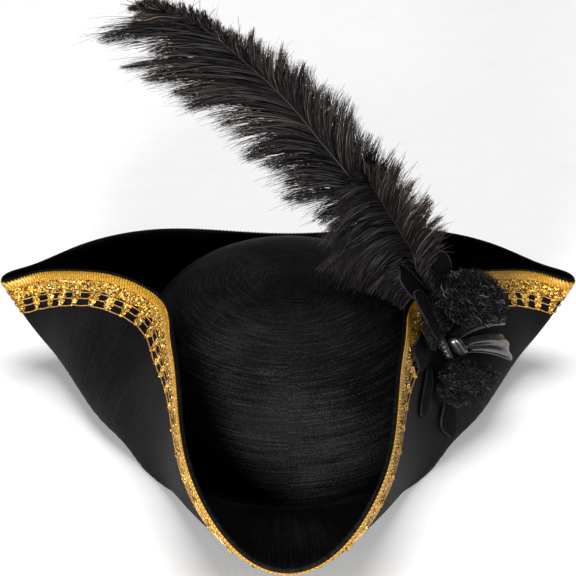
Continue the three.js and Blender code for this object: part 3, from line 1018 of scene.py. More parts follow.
    def _flaps(self, s: Array) -> tuple[Array, Array]:
        """Rings of the brim from the seat's outer border to the edge.

        Args:
            s: The columns' places round the brim in rows.

        Returns:
            (rings, columns, 3) points and unit normals.
        """
        share = np.linspace(1, 0, self.brim_rings)[:, None]
        down = share * np.interp(s, self.brim.rows, self.brim.reach)[None]
        rows = np.broadcast_to(s, down.shape)
        return self.brim.at(rows, down), self.brim.normal(rows, down)


# The lace trim


@dataclass
class LaceTrim:
    """The gold trim on the brim's outer face: satin heading, crumpled thread and an open net.

    All its parts are laid out by the distance round the brim's edge and the distance down from it.
    """

    brim: BrimSurface
    heading: tuple[float, float] = (0.5, 5.4)
    thread: tuple[float, float] = (4.9, 12.6)
    cords: tuple[float, ...] = (13.1, 17.0, 21.6)
    cord_radius: float = 0.33
    pitch: float = 15.5
    ridge_pitch: float = 2.1
    # The heading's length round its section, for its cloth coordinates.
    girth: float = 12.0

    def build(self) -> list[bpy.types.Object]:
        """Makes the trim's pieces; the heading stands for the CAD's lace.

        Returns:
            The heading, the thread band, the cords and the clusters.
        """
        rng = np.random.default_rng(11)
        thread = MetallicThread().material()
        braid = SatinBraid().material()
        heading = make_piece("lace_heading", self._heading(), braid)
        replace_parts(heading, "gold_lace")
        return [
            heading,
            make_piece("lace_thread_band", self._thread_band(rng), thread),
            make_piece("lace_cords", self._cords(rng), GoldCord().material()),
            make_piece("lace_clusters", self._clusters(rng), thread),
        ]

    def _heading(self) -> Geometry:
        """A raised braid with slanting ridges, and with small points along its outer edge.

        Returns:
            A closed band with its cloth coordinates, and how much painted shade darkens its
            grooves.
        """
        count = round(self.brim.loop_length / self.ridge_pitch) * 4
        walk = np.arange(count) * self.brim.loop_length / count
        s = self.brim.row_at(walk)[None]
        bend = np.linspace(0, math.pi, 8)[:, None]
        low, high = self.heading
        down = mix(low, high, (1 - np.cos(bend)) / 2)
        wave = np.cos(2 * math.pi * (walk[None] + 0.5 * down) / self.ridge_pitch)
        points_out = np.maximum(np.cos(2 * math.pi * walk / self.ridge_pitch), 0.0)
        down = down - 0.9 * points_out[None] * np.cos(bend / 2) ** 6
        lift = 0.15 + np.sin(bend) ** 0.7 * (0.8 + 0.24 * wave) + 0.3 * np.cos(bend / 2) ** 6
        top = self.brim.outer(np.broadcast_to(s, down.shape), down, lift)
        both = np.broadcast_to(s, (2, count))
        base = self.brim.outer(both, np.array([[high], [low]]), np.zeros((2, count)))
        rows = len(top) + len(base)
        grid = np.concatenate([top, base])
        uv = grid_uv(
            np.broadcast_to(walk, (rows + 1, count)),
            np.broadcast_to(np.linspace(0, self.girth, rows + 1)[:, None], (rows + 1, count)),
            wrap_cols=True,
            length=self.brim.loop_length,
        )
        # Painted shade for the braid's colour, deepest where its ridges dip lowest.
        groove = np.zeros((rows, count))
        groove[: len(wave)] = np.clip(-wave, 0, 1) ** 2 * 0.85
        return Geometry(
            grid.reshape(-1, 3),
            grid_faces(rows, count, True, True)[:, ::-1],
            corner_uv=uv,
            values={"groove": groove.ravel()},
        )

    def _thread_band(self, rng: np.random.Generator) -> Geometry:
        """Crumpled metallic thread: a band with a random height at each point.

        Args:
            rng: The seeded source.

        Returns:
            A flat-shaded band round the whole brim.
        """
        count = round(self.brim.loop_length / 0.8)
        walk = np.arange(count) * self.brim.loop_length / count
        rows = 13
        down = np.broadcast_to(np.linspace(*self.thread, rows)[:, None], (rows, count)).copy()
        down += rng.uniform(-0.28, 0.28, down.shape)
        scallop = 0.5 * np.cos(2 * math.pi * walk / self.pitch) + rng.uniform(-0.3, 0.3, count)
        down[-2:] += scallop
        lift = 0.25 + 0.95 * rng.random(down.shape) ** 1.5
        lift[0] = lift[-1] = 0.05
        s = self.brim.row_at(walk[None] + rng.uniform(-0.25, 0.25, down.shape))
        grid = self.brim.outer(s, down, lift)
        quads = grid_faces(rows, count, wrap_cols=True)[:, ::-1]
        return Geometry(grid.reshape(-1, 3), quads, smooth=False)

    def _cords(self, rng: np.random.Generator) -> Geometry:
        """The net's lengthwise cords: thin closed tubes that bend a little at each cluster.

        Args:
            rng: The seeded source.

        Returns:
            The cords as one geometry.
        """
        count = round(self.brim.loop_length / 1.25)
        walk = np.arange(count) * self.brim.loop_length / count
        s = self.brim.row_at(walk)
        turn = np.linspace(0, 2 * math.pi, 6, endpoint=False)
        tubes = []
        for down in self.cords:
            pull = 0.45 * np.abs(np.sin(math.pi * walk / self.pitch)) - 0.2
            line_down = down + pull + 0.25 * smooth_random(rng, count, count // 12)
            swell = 1 + 0.2 * rng.uniform(-1, 1, count)
            down_at = line_down[:, None] + self.cord_radius * swell[:, None] * np.cos(turn)
            lift_at = 0.6 + self.cord_radius * swell[:, None] * np.sin(turn)
            rows = np.broadcast_to(s[:, None], down_at.shape)
            grid = self.brim.outer(rows, down_at, lift_at)
            quads = grid_faces(count, len(turn), True, True)
            tubes.append(Geometry(grid.reshape(-1, 3), quads, values={}))
        return joined(tubes)

    def _clusters(self, rng: np.random.Generator) -> Geometry:
        """Clusters of metallic thread that bind the cords, with windows between them.

        Args:
            rng: The seeded source.

        Returns:
            The clusters as one flat-shaded geometry.
        """
        count = round(self.brim.loop_length / self.pitch)
        centre = np.arange(count) + rng.uniform(-0.09, 0.09, count)
        centre = centre * self.brim.loop_length / count
        rows, cols = 14, 11
        down = np.linspace(12.0, 22.0, rows)[None, :, None]
        stops = [12.0, 13.6, 15.2, 17.0, 18.6, 20.4, 22.0]
        half = np.interp(down, stops, [5.2, 3.9, 3.5, 3.9, 3.1, 2.3, 1.2])
        across = np.linspace(-1, 1, cols)[None, None, :]
        ragged = rng.uniform(0.7, 1.35, (count, rows, 1)) * rng.uniform(0.8, 1.2, (count, 1, 1))
        place = centre[:, None, None] + across * half * ragged
        place = place + rng.uniform(-0.2, 0.2, (count, rows, cols))
        fall = down + rng.uniform(-0.3, 0.3, (count, rows, cols))
        dome = 1 - across**2
        lift = 0.15 + dome * (0.5 + 1.3 * rng.random((count, rows, cols)) ** 1.5)
        grid = self.brim.outer(self.brim.row_at(place), fall, lift)
        quads = repeated(grid_faces(rows, cols)[:, ::-1], rows * cols, count)
        return Geometry(grid.reshape(-1, 3), quads, smooth=False)


# The rosette's own coordinates


class Seat(Enum):
    """What a piece of the rosette lies on, as its height above the felt in millimetres."""

    FELT = 0.4
    LACE = 2.0
    SHAFT = 5.625
    PUFF = 7.065
    PAD = 8.905


@dataclass(frozen=True)
class Flap:
    """The right flap's outer face, in shares of the rosette's sizes.

    side is the place along the brim's edge towards the wing, in shares of the rosette's width, and
    down the distance below the edge in shares of its height.
    """

    brim: BrimSurface
    sizes: RosetteSizes = RosetteSizes()

    @property
    def row_pitch(self) -> float:
        """The length of the brim's edge over one row, at the rosette."""
        ends = self.brim.at(self.sizes.row + np.array([-0.5, 0.5]), np.zeros(2))
        return float(np.linalg.norm(ends[1] - ends[0]))

    def at(self, side: Array, down: Array, height: Array) -> Array:
        """Points height millimetres above the flap's outer face.

        Args:
            side: Shares of the rosette's width towards the wing.
            down: Shares of its height below the edge.
            height: Millimetres above the outer face.

        Returns:
            The points, with three numbers in the last axis.
        """
        side, down, height = np.broadcast_arrays(side, down, height)
        s = self.sizes.row - side * self.sizes.width / self.row_pitch
        depth = down * self.sizes.height
        normal = self.brim.normal(s, np.maximum(depth, 1.0))
        return self.brim.at(s, depth) - normal * (self.brim.sizes.half + height)[..., None]


def curve_through(knots: Array, count: int) -> Array:
    """Points on a smooth curve through the knots.

    Args:
        knots: (n, 3) points to pass through.
        count: How many points to make, evenly along the curve's parameter.

    Returns:
        (count, 3) points. Each span is a cubic whose end slopes come from the neighbouring knots.
    """
    steps = np.linalg.norm(np.diff(knots, axis=0), axis=1)
    time = np.concatenate([[0.0], np.cumsum(steps)])
    slope = np.gradient(knots, time, axis=0)
    t = np.linspace(0, time[-1], count)
    i = np.clip(np.searchsorted(time, t, side="right") - 1, 0, len(knots) - 2)
    span = (time[i + 1] - time[i])[:, None]
    f = ((t - time[i]) / span[:, 0])[:, None]
    h0, h1 = 2 * f**3 - 3 * f**2 + 1, f**3 - 2 * f**2 + f
    h2, h3 = -2 * f**3 + 3 * f**2, f**3 - f**2
    return h0 * knots[i] + h1 * span * slope[i] + h2 * knots[i + 1] + h3 * span * slope[i + 1]


def tube(path: Array, radius: Array, sides: int, shade: float = 0.0) -> Geometry:
    """A round tube along a path, tapering by its radius and open at its ends.

    Args:
        path: (n, 3) points.
        radius: (n,) radii.
        sides: Corners of its section.
        shade: The value of its shade attribute.

    Returns:
        The tube's geometry.
    """
    tangent = unit(np.gradient(path, axis=0))
    helper = np.where(np.abs(tangent[:, 2:]) > 0.9, [[1.0, 0.0, 0.0]], [[0.0, 0.0, 1.0]])
    first = unit(np.cross(tangent, helper))
    second = np.cross(tangent, first)
    turn = np.linspace(0, 2 * math.pi, sides, endpoint=False)[None, :, None]
    ring = np.cos(turn) * first[:, None] + np.sin(turn) * second[:, None]
    grid = path[:, None] + ring * radius[:, None, None]
    quads = grid_faces(len(path), sides, wrap_cols=True)
    shades = np.full(len(path) * sides, shade)
    return Geometry(grid.reshape(-1, 3), quads, values={"shade": shades})


# The plumes


class Side(Enum):
    """The two sides of a plume's vane."""

    LOW = -1
    HIGH = 1


@dataclass(frozen=True)
class Vane:
    """One side of a plume's vane.

    table has a row for each station: its share along the shaft, the barbs' length in millimetres,
    the angles in degrees between the shaft and a barb at its root and at its tip, and how far the
    tips fall under their own weight, in millimetres. A tone under 1 makes the barbs darker.
    """

    side: Side
    barbs: int
    barbs_in_lock: int
    table: Array
    points: int = 15
    width: float = 0.46
    tone: float = 1.0

    COLUMNS = ("at", "length", "leave", "sweep", "fall")


@dataclass
class Plume:
    """An ostrich plume: a quill, and barbs that gather into locks towards their tips."""

    name: str
    node: str
    root_side: float
    stations: Array
    vanes: tuple[Vane, ...]
    seed: int
    length: float = 220.0
    quill_radius: float = 1.5
    spread: float = 7.0

    # Points on the quill, and how many of them lie under the rosette and carry no barbs.
    POINTS = 120
    HIDDEN = 16

    def build(
        self, flap: Flap, barb_look: bpy.types.Material, quill_look: bpy.types.Material
    ) -> None:
        """Makes the quill, which stands for the CAD's plume, and a piece for each side's barbs.

        Args:
            flap: The flap that the quill is fastened to.
            barb_look: The barbs' material.
            quill_look: The quill's material.
        """
        path = self._shaft(flap)
        radius = mix(self.quill_radius, 0.3, np.linspace(0, 1, len(path)) ** 0.8)
        quill = make_piece(self.name + "_quill", tube(path, radius, 8), quill_look)
        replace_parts(quill, self.node)
        free = path[self.HIDDEN :]
        for vane in self.vanes:
            rng = np.random.default_rng(self.seed + vane.side.value)
            shape = self._barbs(vane, free, rng)
            name = f"{self.name}_{vane.side.name.lower()}_barbs"
            make_piece(name, shape, barb_look)

    def _shaft(self, flap: Flap) -> Array:
        """The quill's line, from under the rosette, over the flap's edge and up.

        Args:
            flap: The flap that the quill is fastened to.

        Returns:
            (POINTS, 3) points.
        """
        lift = Seat.LACE.value + self.quill_radius
        flat = flap.at(np.array(self.root_side), np.array([0.26, 0.08, -0.08]), np.array(lift))
        left, back, up = self.stations.T
        free = np.stack([-left, back, up], axis=1) * self.length + flat[-1]
        return curve_through(np.concatenate([flat, free]), self.POINTS)

    def _barbs(self, vane: Vane, path: Array, rng: np.random.Generator) -> Geometry:
        """Barbs as thin tapering ribbons.

        A barb starts on the quill at its leaving angle, turns evenly to its tip's angle and falls a
        little. Its points are then drawn towards those of its lock's middle barb, more and more
        towards the tip. Each barb's ribbon is turned by its own angle, so that some face the light.

        Args:
            vane: The side.
            path: The points of the quill that carry barbs.
            rng: The seeded source.

        Returns:
            The ribbons, with a shade at each point.
        """
        count, steps = vane.barbs, vane.points
        locks = max(count // vane.barbs_in_lock, 1)
        at = np.sort(rng.random(count)) ** 1.05
        lock = np.minimum((at * locks + rng.normal(0, 0.25, count)).astype(int), locks - 1).clip(0)
        centre = (np.arange(locks) + 0.5) / locks
        own = self._paths(vane, path, at, rng.normal(0, 1, (count, 4)) * 0.66, steps)
        guide_noise = rng.normal(0, 1, (locks, 4))
        guide = self._paths(vane, path, centre, guide_noise, steps)[lock]
        t = np.linspace(0, 1, steps)[None, :, None]
        pull = (0.15 + 0.8 * rng.random((count, 1, 1))) * t**1.3
        line = mix(own, guide, pull)
        wave = rng.normal(0, 0.6, (count, 1, 3)) * np.sin(t * rng.uniform(3, 12, (count, 1, 1)))
        line = line + wave * t
        stray = (rng.random((count, 1, 1)) < 0.12) * rng.normal(0, 3.5, (count, 1, 3))
        line = line + stray * t**2
        tangent = unit(np.gradient(line, axis=1))
        face = unit(np.cross(tangent, np.array([0.0, -1.0, 0.3])))
        other = np.cross(tangent, face)
        roll = rng.normal(0, 0.7, (count, 1, 1)) + t * rng.normal(0, 0.8, (count, 1, 1))
        wide = np.cos(roll) * face + np.sin(roll) * other
        taper = vane.width * (1 - 0.72 * t**1.5) * rng.uniform(0.7, 1.25, (count, 1, 1)) / 2
        grid = np.stack([line - wide * taper, line + wide * taper], axis=2)
        quads = repeated(grid_faces(steps, 2), steps * 2, count)
        # Each lock and barb has its own random tone. Painted shade: barbs are darker towards the
        # quill's foot, and each barb is darker towards its root.
        depth = rng.random(locks)[lock] * 0.3 + rng.random(count) ** 2.2 * 0.7
        depth = depth * vane.tone * np.clip(0.35 + 2.2 * at, 0, 1)
        shade = np.broadcast_to(depth[:, None] * mix(0.55, 1.0, t[..., 0]), (count, steps))
        shade = np.repeat(shade[..., None], 2, axis=2)
        return Geometry(grid.reshape(-1, 3), quads, values={"shade": shade.ravel()})

    def _paths(self, vane: Vane, path: Array, at: Array, noise: Array, steps: int) -> Array:
        """The line of a barb from each place along the quill.

        Args:
            vane: The side.
            path: The quill's points.
            at: Places along the quill, from 0 to 1.
            noise: Four normal values a barb, for its length, angles and depth.
            steps: Points on each line.

        Returns:
            A (barbs, steps, 3) array.
        """
        place = at * (len(path) - 1)
        i = np.minimum(place.astype(int), len(path) - 2)
        root = mix(path[i], path[i + 1], (place - i)[:, None])
        tangent = unit(path[np.minimum(i + 3, len(path) - 1)] - path[np.maximum(i - 3, 0)])
        across = unit(np.cross(tangent, np.array([0.0, -1.0, 0.0]))) * vane.side.value
        through = unit(np.cross(across, tangent))
        table = columns(vane.table, Vane.COLUMNS)
        length, leave, sweep, fall = (
            np.interp(at, table["at"], table[name]) for name in Vane.COLUMNS[1:]
        )
        t = np.linspace(0, 1, steps)
        leave = np.radians(leave + 5 * noise[:, 1])[:, None]
        sweep = np.radians(sweep + 9 * noise[:, 2])[:, None]
        turn = mix(leave, sweep, t[None] ** 0.9)
        length = length * np.clip(1 + 0.2 * noise[:, 0], 0.45, 1.45)
        step = (length / (steps - 1))[:, None, None]
        way = np.cos(turn)[..., None] * tangent[:, None] + np.sin(turn)[..., None] * across[:, None]
        line = root[:, None] + np.cumsum(way * step, axis=1) - way[:, :1] * step
        depth = self.spread * 0.5 * noise[:, 3][:, None] * np.sin(t[None] * 2.2)
        line = line + depth[..., None] * through[:, None]
        line[..., 2] -= fall[:, None] * t[None] ** 2
        return line


LONG_STATIONS = np.array(
    [
        (0.073, 0.02, 0.093),
        (0.134, 0.028, 0.167),
        (0.184, 0.041, 0.226),
        (0.233, 0.055, 0.285),
        (0.283, 0.068, 0.344),
        (0.332, 0.082, 0.404),
        (0.385, 0.094, 0.46),
        (0.449, 0.108, 0.517),
        (0.516, 0.121, 0.574),
        (0.588, 0.132, 0.624),
        (0.66, 0.138, 0.65),
        (0.706, 0.14, 0.657),
    ]
)
SHORT_STATIONS = np.array(
    [
        (0.013, 0.028, 0.063),
        (0.039, 0.008, 0.117),
        (0.067, -0.005, 0.173),
        (0.095, -0.011, 0.223),
        (0.12, -0.013, 0.267),
        (0.138, -0.015, 0.3),
    ]
)


def long_plume() -> Plume:
    """The long plume behind, whose lower barbs sweep left and whose upper ones curl up.

    Returns:
        The plume, not yet built.
    """
    low = [
        (0.0, 10, 34, 80, 6),
        (0.12, 25, 30, 78, 8),
        (0.21, 36, 26, 70, 6),
        (0.29, 44, 23, 64, 4),
        (0.38, 50, 22, 60, 5),
        (0.45, 53, 22, 60, 5),
        (0.53, 60, 22, 58, 5),
        (0.61, 58, 22, 54, 5),
        (0.68, 58, 22, 50, 4),
        (0.74, 44, 22, 50, 4),
        (0.79, 64, 20, 38, 5),
        (0.83, 42, 18, 36, 3),
        (0.87, 26, 16, 34, 1),
        (0.93, 17, 14, 30, 0),
        (1.0, 8, 3, 16, 0),
    ]
    high = [
        (0.0, 6, 30, 50, 0),
        (0.12, 20, 24, 52, -1),
        (0.21, 32, 20, 56, -1),
        (0.33, 36, 20, 56, -1),
        (0.44, 31, 20, 55, 0),
        (0.6, 23, 20, 54, 0),
        (0.74, 13, 20, 50, 0),
        (0.87, 9, 20, 60, 0),
        (0.96, 8, 16, 50, 0),
        (1.0, 5, 3, 30, 0),
    ]
    return Plume(
        name="long_plume",
        node="long_plume",
        root_side=0.12,
        stations=LONG_STATIONS,
        vanes=(
            Vane(Side.LOW, barbs=4600, barbs_in_lock=150, table=np.array(low), points=18),
            Vane(Side.HIGH, barbs=4600, barbs_in_lock=42, table=np.array(high), points=13),
        ),
        seed=21,
    )


def short_plume() -> Plume:
    """The short plume in front, whose left barbs hang down over the crown.

    Returns:
        The plume, not yet built.
    """
    low = [
        (0.0, 8, 40, 120, 8),
        (0.25, 24, 42, 130, 14),
        (0.5, 36, 40, 122, 16),
        (0.75, 32, 34, 100, 12),
        (0.9, 18, 26, 76, 5),
        (1.0, 8, 8, 40, 1),
    ]
    high = [
        (0.0, 5, 36, 60, 1),
        (0.25, 22, 30, 60, 2),
        (0.5, 30, 30, 58, 2),
        (0.75, 26, 26, 54, 1),
        (0.9, 14, 20, 46, 0),
        (1.0, 6, 8, 30, 0),
    ]
    return Plume(
        name="short_plume",
        node="short_plume",
        root_side=-0.05,
        stations=SHORT_STATIONS,
        vanes=(
            Vane(Side.LOW, barbs=2200, barbs_in_lock=60, table=np.array(low), tone=0.6),
            Vane(Side.HIGH, barbs=2000, barbs_in_lock=55, table=np.array(high), points=11),
        ),
        seed=31,
        spread=6.0,
    )


# The rosette


@dataclass(frozen=True)
class Pad:
    """A stiff rounded tongue: its middle line's two ends, its width and what it lies on."""

    name: str
    start: tuple[float, float]
    end: tuple[float, float]
    wide: float
    seat: Seat
    thickness: float = 1.6

    def build(self, flap: Flap, look: bpy.types.Material) -> bpy.types.Object:
        """Makes the pad's two domed faces with a round rim, and lets it stand for the CAD's.

        Args:
            flap: The flap that it lies on.
            look: Its material.

        Returns:
            The pad's object.
        """
        stations, across = 41, 25
        sizes = flap.sizes
        run = np.subtract(self.end, self.start) * (sizes.width, sizes.height)
        way = run / np.linalg.norm(run)
        t = 0.5 - 0.492 * np.cos(np.linspace(0, math.pi, stations))[:, None]
        outline = np.sqrt(1 - (2 * t - 1) ** 4) * (0.55 + 0.45 * t)
        reach = self.wide * sizes.width * outline / 2
        a = np.sin(np.linspace(-1, 1, across) * math.pi / 2)[None]
        bead = np.exp(-(((np.abs(a) - 0.96) / 0.035) ** 2))
        tip = np.exp(-(((t - 0.98) / 0.012) ** 2))
        # The rim and tip raise the pad's edge and also carry its painted highlight.
        rim = np.maximum(bead, tip)
        cup = 0.11 * reach * (1 - a**2)
        body = self.thickness * (0.3 * np.sqrt(1 - a**2) + 0.3 * rim)
        rise = self.seat.value + cup + self.thickness / 2
        side = mix(self.start[0], self.end[0], t) + a * reach * way[1] / sizes.width
        down = mix(self.start[1], self.end[1], t) - a * reach * way[0] / sizes.height
        top = flap.at(side, down, rise + body)
        under = flap.at(side, down, rise - body)[:, ::-1]
        grid = np.concatenate([top, under], axis=1)
        rim = np.concatenate([rim, rim[:, ::-1]], axis=1)
        quads = grid_faces(stations, 2 * across, wrap_cols=True)
        width = 2 * across
        half = np.arange(across - 1)
        caps = [
            np.stack([half, half + 1, width - 2 - half, width - 1 - half], axis=1),
            np.stack([half, width - 1 - half, width - 2 - half, half + 1], axis=1)
            + (stations - 1) * width,
        ]
        shape = Geometry(
            grid.reshape(-1, 3), np.concatenate([quads, *caps]), values={"rim": rim.ravel()}
        )
        piece = make_piece(self.name + "_cloth", shape, look)
        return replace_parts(piece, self.name)


@dataclass(frozen=True)
class Puff:
    """A cushion of gathered net: a dark crumpled body under many small crimped threads."""

    name: str
    side: float
    down: float
    wide: float
    tall: float
    fall: float
    deep: float
    seat: Seat
    curls: int
    seed: int
    fill: float = 0.5

    def build(self, flap: Flap, look: bpy.types.Material) -> bpy.types.Object:
        """Makes the body and its threads as one piece that stands for the CAD's puff.

        Args:
            flap: The flap that it lies on.
            look: Its material.

        Returns:
            The puff's object.
        """
        rng = np.random.default_rng(self.seed)
        shape = joined([self._body(flap, rng), self._threads(flap, rng)])
        piece = make_piece(self.name + "_net", shape, look)
        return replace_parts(piece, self.name)

    def _surface(self, flap: Flap, polar: Array, round_: Array, swell: Array) -> Array:
        """Points of an oval cushion on the flap at two angles, scaled by swell.

        Args:
            flap: The flap that it lies on.
            polar: Angles from the cushion's lower end.
            round_: Angles round it, from its wing side and over its front.
            swell: Shares of the oval's size.

        Returns:
            The points, with three numbers in the last axis.
        """
        x = np.sin(polar) * np.cos(round_) * swell
        y = np.cos(polar) * swell
        z = np.sin(polar) * np.sin(round_) * swell
        height = self.seat.value + (1 + z) * self.deep / 2
        down = self.down + (y * self.tall + x * self.fall) / 2
        return flap.at(self.side + x * self.wide / 2, down, height)

    def _lump(self, polar: Array, turn: Array) -> Array:
        """How far the cushion's broad lumps swell it.

        Args:
            polar: Angles from the cushion's lower end.
            turn: Angles round it, from its wing side and over its front.

        Returns:
            Shares of the oval's size to add.
        """
        return 0.07 * np.sin(3 * turn + 1.3 + 2 * polar) * np.sin(polar)

    def _body(self, flap: Flap, rng: np.random.Generator) -> Geometry:
        """The crumpled body: a fine oval with random dents and ruffles.

        Args:
            flap: The flap that it lies on.
            rng: The seeded source.

        Returns:
            The closed body, with a dark shade at each point.
        """
        rows, cols = 40, 64
        polar = np.linspace(0.03, math.pi - 0.03, rows)[:, None]
        turn = np.linspace(0, 2 * math.pi, cols, endpoint=False)[None]
        ruffle = 0.09 * np.sin(9 * turn + 4 * np.sin(3 * polar)) * np.sin(polar)
        swell = 0.8 + ruffle + self._lump(polar, turn) + rng.normal(0, 0.03, (rows, cols))
        grid = self._surface(flap, polar, turn, swell)
        quads = grid_faces(rows, cols, wrap_cols=True)
        shade = 0.12 * rng.random(rows * cols)
        return Geometry(grid.reshape(-1, 3), quads, values={"shade": shade})

    def _threads(self, flap: Flap, rng: np.random.Generator) -> Geometry:
        """Short crimped threads that wander over the cushion and stand off it in small loops.

        Args:
            flap: The flap that it lies on.
            rng: The seeded source.

        Returns:
            The threads as thin three-sided tubes, with one shade each.
        """
        count, steps, sides = self.curls, 16, 3
        polar0 = np.arccos(rng.uniform(-0.97, 0.97, count))[:, None]
        turn0 = rng.uniform(-0.35, math.pi + 0.35, count)[:, None]
        t = np.linspace(0, 1, steps)[None]
        heading = rng.normal(1.1, 0.6, count)[:, None]
        length = rng.uniform(0.25, 0.6, count)[:, None]
        phase = rng.uniform(0, 6.3, (count, 1))
        crimps = rng.uniform(9, 17, (count, 1))
        sway = 0.07 * np.sin(crimps * t + phase)
        polar = polar0 + length * t * np.sin(heading) + sway * np.cos(heading)
        turn = turn0 + (length * t * np.cos(heading) - sway * np.sin(heading)) * 1.2
        loop = 0.32 * rng.random((count, 1)) ** 2 * np.sin(math.pi * t)
        swell = 0.84 + self._lump(polar, turn) + loop + 0.05 * np.cos(crimps * t + phase)
        line = self._surface(flap, polar.clip(0.05, 3.09), turn, swell)
        tangent = unit(np.gradient(line, axis=1))
        first = unit(np.cross(tangent, np.array([0.3, 0.2, 1.0])))
        second = np.cross(tangent, first)
        angle = np.linspace(0, 2 * math.pi, sides, endpoint=False)
        radius = rng.uniform(0.11, 0.24, (count, 1, 1, 1))
        ring = (
            np.cos(angle)[None, None, :, None] * first[:, :, None]
            + np.sin(angle)[None, None, :, None] * second[:, :, None]
        )
        grid = line[:, :, None] + ring * radius
        quads = repeated(grid_faces(steps, sides, wrap_cols=True), steps * sides, count)
        shade = np.repeat(rng.random(count) ** 2, steps * sides)
        return Geometry(grid.reshape(-1, 3), quads, values={"shade": shade})


@dataclass(frozen=True)
class ShadeNet(Puff):
    """Dark net threads spread over the lace and the felt beside the rosette: painted shade that
    darkens the lace there.
    """

    def build(self, flap: Flap, look: bpy.types.Material) -> bpy.types.Object:
        """Makes the threads as one piece."""
        shape = self._threads(flap, np.random.default_rng(self.seed))
        return make_piece(self.name, shape, look)


@dataclass(frozen=True)
class GlitterRoll:
    """A roll of glitter net: two strands twisted round each other."""

    start: tuple[float, float] = (-0.24, 0.24)
    end: tuple[float, float] = (-0.31, 0.41)
    radius: float = 1.25
    turns: float = 3.2

    def build(self, flap: Flap, look: bpy.types.Material) -> bpy.types.Object:
        """Makes the strands as one piece that stands for the CAD's roll.

        Args:
            flap: The flap that it lies on.
            look: Its material.

        Returns:
            The roll's object.
        """
        count = 60
        t = np.linspace(0, 1, count)
        swell = np.sqrt(1 - (1.7 * t - 0.85) ** 4)
        strands = []
        for k in range(2):
            turn = 2 * math.pi * self.turns * t + k * math.pi
            off = self.radius * swell * 0.85
            side = mix(self.start[0], self.end[0], t) + off * np.cos(turn) / flap.sizes.width
            down = mix(self.start[1], self.end[1], t)
            path = flap.at(side, down, Seat.FELT.value + 2 * self.radius + off * np.sin(turn))
            strands.append(tube(path, self.radius * (0.25 + 0.75 * swell), 10))
        piece = make_piece("net_roll_glitter", joined(strands), look)
        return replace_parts(piece, "net_roll")


@dataclass(frozen=True)
class Loop:
    """One satin loop: it goes out along the flap, turns over and comes back above itself."""

    side: float
    fall: float
    width: float
    rise: float
    down: float
    start: float = -0.1


@dataclass(frozen=True)
class SatinBow:
    """The satin loops and their knot."""

    loops: tuple[Loop, ...] = (
        Loop(side=0.74, fall=0.1, width=17, rise=8.0, down=0.385),
        Loop(side=0.86, fall=-0.01, width=9, rise=5, down=0.31),
        Loop(side=0.6, fall=0.0, width=6, rise=6.5, down=0.3),
    )

    def build(self, flap: Flap, look: bpy.types.Material) -> bpy.types.Object:
        """Makes the bow as one piece that stands for the CAD's bow.

        Args:
            flap: The flap that it lies on.
            look: Its material.

        Returns:
            The bow's object.
        """
        parts = [self._loop(flap, loop) for loop in self.loops]
        parts.append(self._knot(flap))
        shape = joined(parts)
        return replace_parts(make_piece("satin_bow_ribbon", shape, look), "satin_bow")

    def _loop(self, flap: Flap, loop: Loop) -> Geometry:
        """A ribbon whose width has a few soft pleats that deepen towards the knot.

        Args:
            flap: The flap that it lies on.
            loop: The loop's sizes.

        Returns:
            A thin closed ribbon.
        """
        count, across = 44, 15
        turn = np.linspace(0, math.pi, count)[:, None]
        a = np.linspace(-1, 1, across)[None]
        reach = np.sin(turn) ** 0.8
        half = loop.width * (0.4 + 0.6 * reach) / 2
        lift = Seat.FELT.value + 2 + loop.rise * (1 - np.cos(turn)) / 2
        pleat = 1.5 * (1 - 0.5 * reach) * np.cos(1.8 * math.pi * a + 0.7 + 0.6 * turn)
        crown = 1.7 * reach * (1 - a**2)
        sides = []
        for thick in (0.18, -0.18):
            swell = (crown + thick) * np.sin(turn) / flap.sizes.width
            side = loop.start + loop.side * reach + swell
            down = loop.down + loop.fall * reach + a * half / flap.sizes.height
            height = lift + pleat - (thick + 0.4 * crown) * np.cos(turn)
            sides.append(flap.at(side, down, height.clip(0.5)))
        grid = np.concatenate([sides[0], sides[1][:, ::-1]], axis=1)
        quads = grid_faces(count, 2 * across, wrap_cols=True)
        return Geometry(grid.reshape(-1, 3), quads, values={})

    def _knot(self, flap: Flap) -> Geometry:
        """The knot: a short barrel with pleats.

        Args:
            flap: The flap that it lies on.

        Returns:
            A closed barrel.
        """
        rows, cols = 16, 32
        t = np.linspace(0.02, 0.98, rows)[:, None]
        turn = np.linspace(0, 2 * math.pi, cols, endpoint=False)[None]
        swell = np.sqrt(1 - (2 * t - 1) ** 4) * (1 + 0.1 * np.cos(6 * turn))
        side = -0.13 + 0.06 * swell * np.cos(turn)
        down = mix(0.3, 0.43, t)
        height = Seat.FELT.value + 4.8 + 4.3 * swell * np.sin(turn)
        grid = flap.at(side, np.broadcast_to(down, side.shape), height)
        quads = grid_faces(rows, cols, wrap_cols=True)
        return Geometry(grid.reshape(-1, 3), quads, values={})


